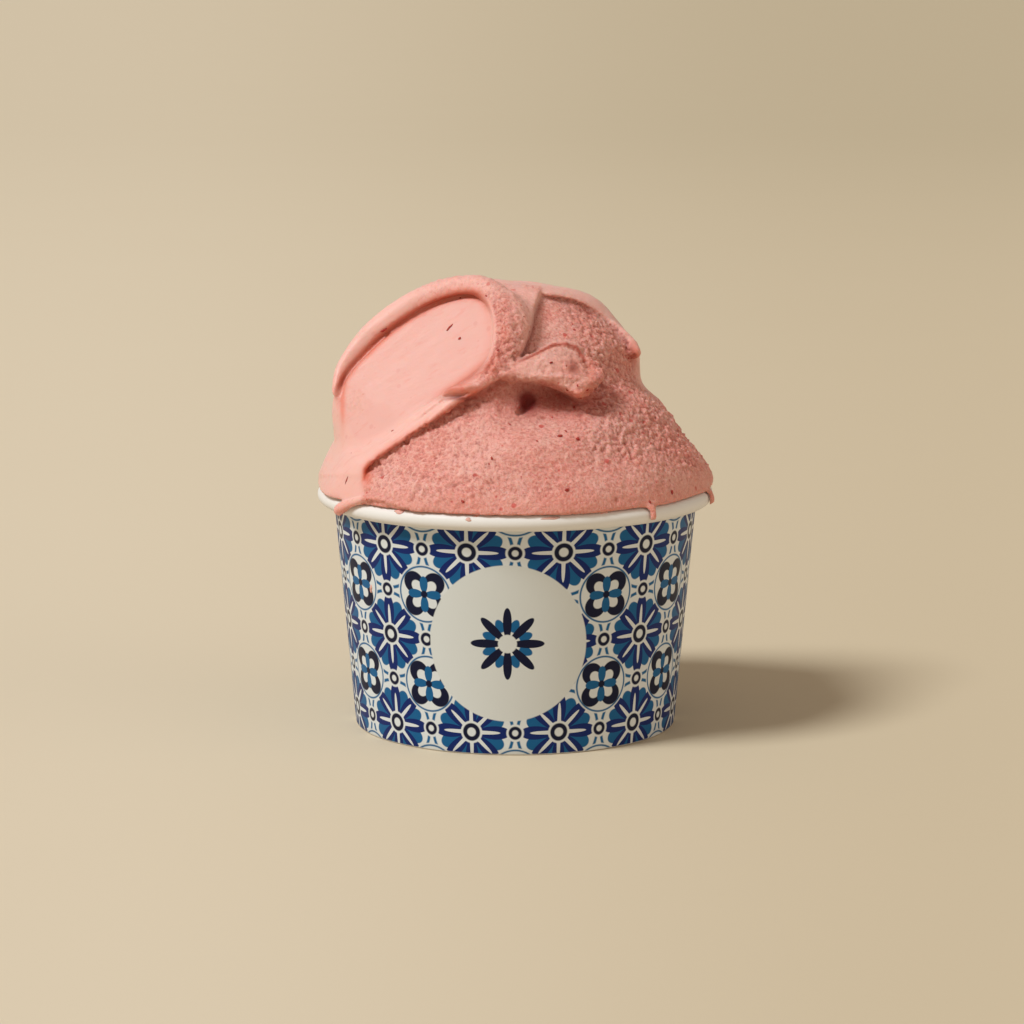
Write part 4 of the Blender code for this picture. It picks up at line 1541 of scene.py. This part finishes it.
@dataclass(frozen=True)
class Gelato:
    """The gelato in the cup and heaped above it.

    Its sizes are in millimetres, except the relief's depth, which is in metres.
    """

    heap: Heap
    step: float = 0.5
    quick_step: float = 0.9
    coarse: int = 3
    triangles: int = 192000
    low: tuple[float, float, float] = (-52.0, -52.0, 46.0)
    high: tuple[float, float, float] = (52.0, 52.0, 113.0)
    relief_depth: float = 0.001
    relief_seed: float = 3.0
    core_top: float = 54.0
    core_slack: float = 0.4

    def build(self, finish: bpy.types.Material) -> bpy.types.Object:
        """Build the piece.

        Args:
            finish: Its material.

        Returns:
            The piece.
        """
        step = self.step
        vertices, faces = self._skin(step)
        LOG.info("gelato skin: %d vertices", len(vertices))
        piece = make_object("gelato_heap", vertices, faces)
        drop_bubbles(piece.data)
        points = np.empty(len(piece.data.vertices) * 3)
        piece.data.vertices.foreach_get("co", points)
        points = points.reshape(-1, 3) / MM
        for name, values in self.heap.marks(points).items():
            set_mark(piece.data, name, values)
        set_mark(piece.data, "open_air", ramp(points[:, 2], 56.0, 60.0))
        points = self._filling_cup(points)
        piece.data.vertices.foreach_set("co", (points * MM).ravel())
        values = {"Depth": self.relief_depth, "Seed": self.relief_seed}
        add_tree_modifier(piece, self._relief_tree(finish), values)
        made_plain(piece)
        count = sum(len(polygon.vertices) - 2 for polygon in piece.data.polygons)
        if count > self.triangles:
            thin = piece.modifiers.new("thin", "DECIMATE")
            thin.ratio = self.triangles / count
            made_plain(piece)
        piece.data.shade_smooth()
        return piece

    def _skin(self, step: float) -> tuple[np.ndarray, np.ndarray]:
        """Skin the heap's field on a grid that is fine only near the surface.

        Args:
            step: The fine grid's step.

        Returns:
            Vertices and four-sided faces.
        """
        low, high = np.array(self.low), np.array(self.high)
        wide = step * self.coarse
        counts = np.ceil((high - low) / wide).astype(int)
        axes = [low[i] + (np.arange(counts[i]) + 0.5) * wide for i in range(3)]
        points = np.stack(np.meshgrid(*axes, indexing="ij"), axis=-1).reshape(-1, 3)
        grid = self.heap.field(points).reshape(counts)
        for axis in range(3):
            grid = np.repeat(grid, self.coarse, axis=axis)
        grid = grid.astype(np.float32)
        near = np.abs(grid) < 1.5 * wide
        places = low + (np.argwhere(near) + 0.5) * step
        chunks = np.array_split(places, max(1, len(places) // 300000))
        grid[near] = np.concatenate([self.heap.field(chunk) for chunk in chunks])
        volume = openvdb.FloatGrid(background=3.0 * wide)
        volume.copyFromArray(grid)
        vertices, faces = volume.convertToQuads(isovalue=0.0)
        return low + (vertices + 0.5) * step, faces

    def _filling_cup(self, points: np.ndarray) -> np.ndarray:
        """Stretch the core down to fill the cup.

        Args:
            points: The skin's vertices.

        Returns:
            The moved vertices.
        """
        cup = self.heap.cup
        radius, bottom, _ = self.heap.core
        floor = cup.base_top + cup.gap
        share = np.clip((self.core_top - points[:, 2]) / (self.core_top - bottom), 0.0, 1.0)
        height = np.where(share > 0.0, self.core_top - share * (self.core_top - floor), points[:, 2])
        wanted = cup.wall_radius(height) - cup.board - cup.gap - self.core_slack
        factor = 1.0 + share**0.5 * (wanted / radius - 1.0)
        return np.column_stack([points[:, :2] * factor[:, None], height])

    def _relief_tree(self, finish: bpy.types.Material) -> bpy.types.NodeTree:
        """Make the tree that raises grains and sinks pits by the skin's marks.

        Args:
            finish: The material to set.

        Returns:
            The node tree.
        """
        takes = {"Geometry": "Geometry", "Depth": "Float", "Seed": "Float"}
        tree = new_tree("gelato_relief", "GeometryNodeTree", takes, {"Geometry": "Geometry"})
        geometry, depth, seed = given_wires(tree)
        names = ("rough", "coarse", "deep", "low", "open_air")
        rough, coarse, deep, low, open_air = (mark_of(tree, name) for name in names)
        here = add_node(tree, "GeometryNodeInputPosition")
        place = vector_math(tree, "ADD", here, add_node(tree, "ShaderNodeCombineXYZ", {"X": seed}))

        swell = noise(tree, place, 150.0, 2.0) - 0.5
        crumbs = noise(tree, place, 760.0, 3.0, 0.66) - 0.5
        rows = noise(tree, stretched(tree, place, (1.0, 1.0, 0.42), (0.0, 0.62, 0.0)), 950.0, 2.0) - 0.5
        grain, chance = cells(tree, place, 820.0)
        pit, pit_chance = cells(tree, place, 300.0)
        pits = pit.step(0.30, 0.12) * (pit_chance - 0.93).math("GREATER_THAN", 0.0)
        streak = noise(tree, stretched(tree, place, (0.12, 1.0, 1.0), (0.0, 0.72, 0.3)), 420.0, 2.0) - 0.5
        leftward = axis_of(tree, here, "X").step(0.006, -0.016, 0.5, 2.2)
        rough_height = swell * 0.6 + crumbs * (coarse * 0.9 + 1.0) + rows * leftward
        rough_height = rough_height + (0.42 - grain) * coarse * 0.8 - pits * 0.5
        rough_height = rough_height * (1.0 - low * 0.35)
        smooth_height = swell * 0.25 + streak * 0.22
        height = rough * rough_height + (1.0 - rough) * smooth_height + (chance - 0.5) * coarse * 0.3
        height = height * open_air * (1.0 - deep * 0.5)

        normal = add_node(tree, "GeometryNodeInputNormal")
        move = add_node(tree, "ShaderNodeVectorMath", {0: normal, "Scale": height * depth}, operation="SCALE")
        placed = add_node(tree, "GeometryNodeSetPosition", {"Geometry": geometry, "Offset": move})
        kept = add_node(tree, "GeometryNodeStoreNamedAttribute",
                        {"Geometry": placed, "Name": "relief", "Value": height},
                        data_type="FLOAT", domain="POINT")
        finish_tree(tree, kept, finish)
        return tree


def finish_tree(tree: bpy.types.NodeTree, geometry: Wire, finish: bpy.types.Material) -> None:
    """End a geometry tree by realising instances and setting the material.

    Args:
        tree: The tree.
        geometry: What it has made.
        finish: The material to set.
    """
    realised = add_node(tree, "GeometryNodeRealizeInstances", {"Geometry": geometry})
    finished = add_node(tree, "GeometryNodeSetMaterial", {"Geometry": realised, "Material": finish})
    result = tree.nodes.new("NodeGroupOutput")
    plug(tree, result.inputs[0], finished)


def mark_of(tree: bpy.types.NodeTree, name: str) -> Wire:
    """Read a mark of the mesh in a geometry tree."""
    return add_node(tree, "GeometryNodeInputNamedAttribute", {"Name": name}, "Attribute", data_type="FLOAT")


@dataclass(frozen=True)
class BerryBits:
    """Small bits of strawberry pulp and seed that stand on the gelato, by the square metre and in metres."""

    density: float = 6000.0
    size: float = 0.00038
    seed: int = 7

    def build(self, heap: bpy.types.Object, finish: bpy.types.Material) -> bpy.types.Object:
        """Scatter the bits over the heap.

        Args:
            heap: The gelato to scatter them on.
            finish: Their material.

        Returns:
            The piece.
        """
        piece = bpy.data.objects.new("berry_bits", heap.data.copy())
        bpy.context.scene.collection.objects.link(piece)
        values = {"Density": self.density, "Size": self.size, "Seed": self.seed}
        add_tree_modifier(piece, self._tree(finish), values)
        made_plain(piece)
        return piece

    def _tree(self, finish: bpy.types.Material) -> bpy.types.NodeTree:
        """Make the scattering tree.

        Args:
            finish: The material to set.

        Returns:
            The node tree.
        """
        takes = {"Geometry": "Geometry", "Density": "Float", "Size": "Float", "Seed": "Int"}
        tree = new_tree("berry_scatter", "GeometryNodeTree", takes, {"Geometry": "Geometry"})
        geometry, density, size, seed = given_wires(tree)
        share = mark_of(tree, "rough").step(0.2, 1.0, 0.04, 1.0) * mark_of(tree, "open_air").step(0.8, 1.0)
        points = add_node(tree, "GeometryNodeDistributePointsOnFaces",
                          {"Mesh": geometry, "Density": share * density, "Seed": seed}, "Points")
        ball = add_node(tree, "GeometryNodeMeshIcoSphere", {"Subdivisions": 2, "Radius": size}, "Mesh")
        here = add_node(tree, "GeometryNodeInputPosition")
        lump = noise(tree, here, 1800.0, 1.0)
        sides = {"X": lump + 0.6, "Y": lump * 0.6 + 0.3, "Z": lump * 0.5 + 0.2}
        squashed = vector_math(tree, "MULTIPLY", here, add_node(tree, "ShaderNodeCombineXYZ", sides))
        bit = add_node(tree, "GeometryNodeSetPosition", {"Geometry": ball, "Position": squashed})
        spread = add_node(tree, "FunctionNodeRandomValue", {2: 0.5, 3: 1.25}, 1, data_type="FLOAT")
        turn = add_node(tree, "FunctionNodeRandomValue", {2: 0.0, 3: 6.28}, 1, data_type="FLOAT")
        about = add_node(tree, "ShaderNodeCombineXYZ", {"Z": turn})
        spin = add_node(tree, "FunctionNodeRotateRotation", {0: points.sibling("Rotation"), 1: about},
                        rotation_space="LOCAL")
        placed = add_node(tree, "GeometryNodeInstanceOnPoints",
                          {"Points": points, "Instance": bit, "Rotation": spin, "Scale": spread})
        finish_tree(tree, placed, finish)
        return tree


PATCH_RINGS = 6
PATCH_SIDES = 28
PATCH_SUNK = 0.12


def make_patch(centre: np.ndarray, along: np.ndarray, normal: np.ndarray, size: tuple[float, float, float],
               seed: int, onto: Callable[[np.ndarray], tuple[np.ndarray, np.ndarray]] | None = None) -> Shape:
    """Make a thin uneven lens, closed all round, whose underside is sunk a little.

    Args:
        centre: Its middle.
        along: The direction of its length.
        normal: Its outward direction.
        size: Its length, its width and how far it stands out in the middle.
        seed: What varies its outline.
        onto: What brings points on to the surface below and gives their outward directions.

    Returns:
        Vertices and faces.
    """
    length, width, thickness = size
    rings, sides, sunk = PATCH_RINGS, PATCH_SIDES, PATCH_SUNK
    waves = np.random.default_rng(seed).uniform(0.0, 2.0 * math.pi, 3)
    turn = np.arange(sides) * 2.0 * math.pi / sides
    outline = 1.0 + 0.16 * np.sin(2 * turn + waves[0]) + 0.12 * np.sin(3 * turn + waves[1])
    outline = outline + 0.08 * np.sin(5 * turn + waves[2])
    shares = np.repeat(np.arange(1, rings + 1) / rings, sides)
    reach = shares * np.tile(outline, rings)
    turns = np.tile(turn, rings)
    lengthwise = np.outer(reach * np.cos(turns) * length / 2, along)
    crosswise = np.outer(reach * np.sin(turns) * width / 2, np.cross(normal, along))
    flat = np.vstack([centre, centre + lengthwise + crosswise])
    heights = thickness * np.append(1.0, np.sqrt(1.0 - shares**2))
    normals = np.tile(normal, (len(flat), 1))
    if onto is not None:
        flat, normals = onto(flat)
    top = flat + normals * heights[:, None]
    inner = 1 + (rings - 1) * sides
    under = flat[:inner] - normals[:inner] * sunk
    shift = len(top)
    faces = []
    for j in range(sides):
        k = (j + 1) % sides
        faces.append((0, 1 + j, 1 + k))
        faces.append((shift, shift + 1 + k, shift + 1 + j))
        for i in range(rings - 1):
            a, b = 1 + i * sides, 1 + (i + 1) * sides
            faces.append((a + j, b + j, b + k, a + k))
            c, d = (shift + a, shift + b) if i < rings - 2 else (shift + a, b)
            faces.append((c + k, d + k, d + j, c + j))
    return np.vstack([top, under]), faces


def joined(name: str, parts: list[Shape]) -> bpy.types.Object:
    """Join several closed shapes in one piece.

    Args:
        name: The piece's name.
        parts: Vertices and faces of each.

    Returns:
        The piece.
    """
    vertices, faces, shift = [], [], 0
    for some_vertices, some_faces in parts:
        vertices.append(some_vertices)
        faces.extend(tuple(i + shift for i in face) for face in some_faces)
        shift += len(some_vertices)
    return make_object(name, np.vstack(vertices), faces)


@dataclass(frozen=True)
class BerryStreaks:
    """The larger dark streaks and flecks of strawberry, each x, h, length, width, degrees, thickness."""

    heap: Heap
    streaks: Line = ((-15.4, 63.4, 2.0, 0.7, 60, 0.18), (-13.0, 60.6, 0.9, 0.6, 20, 0.15),
                     (-31.2, 63.4, 1.6, 0.7, 40, 0.25), (-12.9, 70.6, 0.7, 0.5, 0, 0.2),
                     (-39.2, 27.4, 2.4, 0.5, 75, 0.2), (-28.6, 38.8, 0.9, 0.5, 30, 0.2),
                     (10.3, 37.0, 1.2, 0.8, 20, 0.3), (14.4, 36.4, 1.0, 0.8, 80, 0.3),
                     (11.8, 24.4, 1.1, 0.7, 10, 0.3), (36.4, 24.4, 1.0, 0.7, 60, 0.3),
                     (8.3, 54.2, 0.7, 0.5, 10, 0.2), (11.8, 53.4, 0.7, 0.4, 40, 0.2))

    def build(self, finish: bpy.types.Material) -> bpy.types.Object:
        """Build the piece.

        Args:
            finish: Its material.

        Returns:
            The piece.
        """
        points, normals = self.heap.found_at(tuple(row[:2] for row in self.streaks))
        parts = []
        for i, (point, normal, row) in enumerate(zip(points, normals, self.streaks)):
            _, _, length, width, degrees, thickness = row
            right = np.cross((0.0, 0.0, 1.0), normal)
            right /= np.linalg.norm(right)
            up = np.cross(normal, right)
            turn = math.radians(degrees)
            along = math.cos(turn) * right + math.sin(turn) * up
            parts.append(make_patch(point, along, normal, (length, width, thickness), 20 + i))
        piece = joined("berry_streaks", parts)
        piece.data.materials.append(finish)
        return piece


@dataclass(frozen=True)
class RimSmears:
    """Thin smears of gelato on the rim and a fleck on the wall.

    A smear is degrees round the cup from +X, degrees up the rim's roll from its outermost line, length,
    width and thickness. The fleck has its height in place of the degrees up the roll.
    """

    cup: CupSizes
    smears: Line = ((-124.6, 52, 3.2, 1.4, 0.25), (-101.0, 60, 1.6, 0.9, 0.15), (-103.0, 28, 1.4, 1.0, 0.15),
                    (-80.0, 40, 4.4, 0.8, 0.08), (-64.0, 66, 2.0, 1.0, 0.18), (58.0, 60, 2.6, 1.2, 0.2),
                    (134.0, 50, 1.8, 1.0, 0.2))
    fleck: tuple[float, float, float, float, float] = (-143.5, 37.0, 1.9, 0.9, 0.25)

    def build(self, finish: bpy.types.Material) -> bpy.types.Object:
        """Build the piece.

        Args:
            finish: Its material.

        Returns:
            The piece.
        """
        parts = []
        for i, (degrees, up_roll, length, width, thickness) in enumerate(self.smears):
            turn, tilt = math.radians(degrees), math.radians(up_roll)
            out = np.array([math.cos(turn), math.sin(turn), 0.0])
            normal = out * math.cos(tilt) + np.array([0.0, 0.0, math.sin(tilt)])
            radius, height = self.cup.roll_centre
            centre = out * radius + np.array([0.0, 0.0, height]) + normal * self.cup.roll_radius
            along = np.array([-math.sin(turn), math.cos(turn), 0.0])
            size = (length, width, thickness)
            parts.append(make_patch(centre, along, normal, size, 50 + i, self._on_rim))
        degrees, height, length, width, thickness = self.fleck
        turn = math.radians(degrees)
        normal = np.array([math.cos(turn), math.sin(turn), 0.0])
        upright = np.array([0.0, 0.0, 1.0])
        centre = normal * self.cup.wall_radius(height) + height * upright
        parts.append(make_patch(centre, upright, normal, (length, width, thickness), 70))
        piece = joined("rim_smears", parts)
        piece.data.materials.append(finish)
        return piece

    def _on_rim(self, points: np.ndarray) -> tuple[np.ndarray, np.ndarray]:
        """Bring points on to the rim's roll.

        Args:
            points: Rows near it.

        Returns:
            Points on it and their outward directions.
        """
        radius, height = self.cup.roll_centre
        out = points[:, :2] / np.linalg.norm(points[:, :2], axis=1, keepdims=True)
        centres = np.column_stack([out * radius, np.full(len(points), height)])
        normals = points - centres
        normals /= np.linalg.norm(normals, axis=1, keepdims=True)
        return centres + normals * self.cup.roll_radius, normals


@dataclass(frozen=True)
class PaperCup:
    """The cup's paperboard wall: a rolled rim, a lap seam at the back, and a fold around the foot.

    Sizes are in millimetres, and edge_turn is in radians.
    """

    cup: CupSizes
    board: PrintedBoard
    turns: int = 216
    lap: float = 8.0
    lap_step: float = 0.35
    edge_turn: float = 0.004
    foot_start: float = 0.4
    fold_start: float = 1.0

    def profile(self) -> tuple[np.ndarray, np.ndarray]:
        """The wall's section.

        Returns:
            Rows of radius and height with the outer side going down, and which rows are printed.
        """
        cup = self.cup
        radius, height = cup.roll_centre
        meeting = math.atan2(cup.shoulder_height - height, cup.shoulder_radius - radius)
        turn = np.linspace(math.pi, meeting, 30)
        rim = np.array(cup.roll_centre) + cup.roll_radius * np.stack([np.cos(turn), np.sin(turn)], axis=1)
        heights = np.linspace(cup.shoulder_height, self.foot_start, 28)
        wall = np.stack([cup.wall_radius(heights), heights], axis=1)
        slot = cup.board + 2.0 * cup.gap
        foot = np.array([
            (cup.foot_radius - 0.12, 0.1),
            (cup.foot_radius - 0.3, 0.0),
            (cup.foot_radius - 2.0 * cup.board - slot + 0.3, 0.0),
            (cup.wall_radius(self.foot_start) - 2.0 * cup.board - slot, self.foot_start),
            (cup.wall_radius(cup.fold_top) - 2.0 * cup.board - slot, cup.fold_top),
            (cup.wall_radius(cup.fold_top) - cup.board - slot, cup.fold_top),
            (cup.wall_radius(self.fold_start) - cup.board - slot, self.fold_start),
            (cup.wall_radius(self.fold_start) - cup.board, self.fold_start),
            (cup.shoulder_radius - cup.board, cup.shoulder_height),
        ])
        printed = np.zeros(len(rim) + len(wall) + len(foot))
        printed[len(rim): len(rim) + len(wall)] = 1.0
        return np.vstack([rim, wall, foot]), printed

    def lap_seam(self) -> tuple[np.ndarray, np.ndarray, np.ndarray]:
        """Go round the cup from its back, with the lap that stands proud where the wall overlaps itself.

        Returns:
            The turns in radians, the lap's share of its step at each, and how near each is to its cut edge.
        """
        lap = self.lap / self.cup.wall_radius(self.board.panel_height)
        whole = 2.0 * math.pi
        edges = lap / 2 + np.array([-self.edge_turn, 0.0, self.edge_turn])
        angles = np.unique(np.concatenate([np.linspace(0.0, whole, self.turns, endpoint=False), edges]))
        sharp = ramp(angles, lap / 2 + self.edge_turn / 4, lap / 2)
        smooth = ramp(angles, whole - lap, whole - lap / 4)
        at_edge = np.exp(-(((angles - lap / 2) / (1.25 * self.edge_turn)) ** 2))
        return angles, np.where(angles < math.pi, sharp, smooth), at_edge

    def build(self, finish: bpy.types.Material) -> bpy.types.Object:
        """Build the piece.

        Args:
            finish: Its material.

        Returns:
            The piece.
        """
        section, printed = self.profile()
        angles, raised, at_edge = self.lap_seam()
        rows, count = len(section), len(angles)
        turned = math.pi / 2 + angles[:, None]
        radius = section[:, 0] + printed * raised[:, None] * self.lap_step
        heights = np.broadcast_to(section[:, 1], radius.shape)
        vertices = np.stack([radius * np.cos(turned), radius * np.sin(turned), heights], axis=-1)
        faces = []
        for i in range(count):
            j = (i + 1) % count
            for row in range(rows):
                after = (row + 1) % rows
                faces.append((i * rows + row, i * rows + after, j * rows + after, j * rows + row))
        piece = make_object("paper_cup", vertices.reshape(-1, 3), faces)
        set_mark(piece.data, "printed", np.tile(printed, count))
        past_print = (np.arange(rows) > np.flatnonzero(printed).max()).astype(float)
        set_mark(piece.data, "raw", np.maximum(at_edge[:, None] * printed, past_print).ravel())
        self._add_print_map(piece.data, angles, section[:, 1])
        piece.data.materials.append(finish)
        return piece

    def _add_print_map(self, mesh: bpy.types.Mesh, angles: np.ndarray, heights: np.ndarray) -> None:
        """Wrap the print map round the wall, and close it with a whole turn.

        Args:
            mesh: The wall's mesh.
            angles: The turns that it was built with.
            heights: The heights of its section.
        """
        rows, count = len(heights), len(angles)
        layer = mesh.uv_layers.new(name="print")
        corners = np.empty(len(mesh.loops), dtype=int)
        mesh.loops.foreach_get("vertex_index", corners)
        last_strip = np.arange(len(corners)) // 4 // rows == count - 1
        closing = last_strip & (corners // rows == 0)
        angle = np.where(closing, 2.0 * math.pi, angles[corners // rows])
        layer.data.foreach_set("uv", self.board.place(angle, heights[corners % rows]).ravel())


# ---------------------------------------------------------------------------------------------
# The studio


@dataclass(frozen=True)
class FloorFinish:
    """The floor's plain pale beige, with painted shade that deepens it towards the right and far off."""

    left: Colour = (0.685, 0.590, 0.447)
    right: Colour = (0.585, 0.488, 0.345)
    far: Colour = (0.40, 0.335, 0.22)
    eye_distance: float = 0.79
    half_width: float = 0.15
    fading: tuple[float, float] = (0.1, 3.0)

    def make(self) -> bpy.types.Material:
        """Make the material.

        Returns:
            The material.
        """
        material, tree, shader = new_material("floor")
        place = object_place(tree)
        x, y = axis_of(tree, place, "X"), axis_of(tree, place, "Y")
        cloud = noise(tree, place, 6.0, 3.0) - 0.5
        # Painted shade: the colour darkens towards the right and far off, where the light falls away.
        rightward = (x / (y + self.eye_distance).either(0.2)).step(-self.half_width, self.half_width)
        colour = tinted(tree, (rightward + cloud * 0.08).both(1.0).either(0.0), self.left, self.right)
        distance = y.step(*self.fading) * rightward.step(0.0, 1.0, 0.2, 0.5)
        plug(tree, shader.inputs["Base Color"], tinted(tree, distance, colour, self.far))
        shader.inputs["Roughness"].default_value = 0.85
        shader.inputs["Specular IOR Level"].default_value = 0.2
        return material


@dataclass(frozen=True)
class FarLight:
    """A light from far off, which comes from one direction and is as soft as it is wide, in degrees."""

    name: str
    source: tuple[float, float, float]
    strength: float
    width: float
    colour: Colour

    def build(self) -> None:
        """Add the light."""
        light = bpy.data.lights.new(self.name, "SUN")
        light.energy = self.strength
        light.angle = math.radians(self.width)
        light.color = self.colour
        lamp = bpy.data.objects.new(self.name, light)
        lamp.rotation_euler = Vector(self.source).to_track_quat("Z", "Y").to_euler()
        bpy.context.scene.collection.objects.link(lamp)


@dataclass(frozen=True)
class Studio:
    """The floor, the lights and the camera, in metres and degrees."""

    floor_radius: float = 22.0
    lights: tuple[FarLight, ...] = (
        FarLight("sun", (-0.75, -0.44, 1.0), 2.72, 17.0, (0.945, 0.985, 1.0)),
        FarLight("glow", (0.85, -0.40, 0.16), 0.6, 60.0, (1.0, 0.88, 0.77)),
    )
    fill_colour: Colour = (1.0, 0.855, 0.71)
    fill_strength: float = 0.38
    lens: float = 116.0
    drop: float = 10.94
    distance: float = 0.8
    aim_height: float = 0.03
    shift: tuple[float, float] = (-0.003125, 0.0834)

    def build(self) -> None:
        """Add everything around the cup."""
        bpy.context.scene.view_settings.view_transform = "Standard"
        self._add_floor()
        for light in self.lights:
            light.build()
        self._add_fill()
        self._add_camera()

    def _add_floor(self) -> None:
        """Add the floor."""
        sculpt = bmesh.new()
        bmesh.ops.create_circle(sculpt, cap_ends=True, segments=96, radius=self.floor_radius)
        mesh = bpy.data.meshes.new("floor")
        sculpt.to_mesh(mesh)
        sculpt.free()
        mesh.materials.append(FloorFinish().make())
        floor = bpy.data.objects.new("floor", mesh)
        bpy.context.scene.collection.objects.link(floor)

    def _add_fill(self) -> None:
        """Add the soft light from all round."""
        world = bpy.data.worlds.new("fill")
        world.use_nodes = True
        background = world.node_tree.nodes["Background"]
        background.inputs["Color"].default_value = (*self.fill_colour, 1.0)
        background.inputs["Strength"].default_value = self.fill_strength
        bpy.context.scene.world = world

    def _add_camera(self) -> None:
        """Add the camera, which looks at the serving side from a little above."""
        scene = bpy.context.scene
        data = bpy.data.cameras.new("camera")
        data.lens = self.lens
        data.sensor_width = 36.0
        data.clip_start = 0.01
        data.clip_end = 100.0
        data.shift_x, data.shift_y = self.shift
        camera = bpy.data.objects.new("camera", data)
        drop = math.radians(self.drop)
        away = Vector((0.0, -math.cos(drop), math.sin(drop))) * self.distance
        camera.location = away + Vector((0.0, 0.0, self.aim_height))
        camera.rotation_euler = (math.pi / 2 - drop, 0.0, 0.0)
        scene.collection.objects.link(camera)
        scene.camera = camera


def settle(piece: bpy.types.Object, slot: Slot, *nodes: str) -> None:
    """Give a piece its body and hide the plain nodes it stands for.

    Args:
        piece: The piece.
        slot: Its material slot; not used.
        nodes: The nodes it replaces.
    """
    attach(piece, "root")
    if nodes:
        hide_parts(*nodes)
    LOG.info("%s: %d faces", piece.name, len(piece.data.polygons))


def main() -> None:
    """Build the cup, the gelato and the studio, and note the sizes."""
    logging.basicConfig(level=logging.INFO, format="%(message)s")
    cup = CupSizes()
    heap = Heap(cup=cup)
    grain = PaperGrain()
    board = PrintedBoard(cup, grain, Motif())
    settle(PaperCup(cup, board).build(board.make()), Slot.PRINTED, "cup_wall")

    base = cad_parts["cup_base"]
    base.data.materials.clear()
    base.data.materials.append(PlainBoard(grain).make())
    LOG.info("cup_base: kept as it is")

    finish = GelatoFinish(GelatoLook(GelatoColours()))
    gelato = Gelato(heap).build(finish.make("gelato"))
    settle(gelato, Slot.GELATO, "gelato")
    berry = GelatoFinish(GelatoLook(BERRY_COLOURS), scatter_weight=0.2)
    settle(BerryBits().build(gelato, berry.make("berry_bits", {"rough": 1.0})), Slot.GELATO)
    settle(BerryStreaks(heap).build(berry.make("berry_streaks", {"rough": 0.6, "deep": 0.3})), Slot.GELATO)
    # The smears' warm tint is painted glow of light through their thin gelato.
    settle(RimSmears(cup).build(finish.make("smears", {"rough": 0.2, "warm": 0.15})), Slot.GELATO)
    Studio().build()


if __name__ == "__main__":
    main()
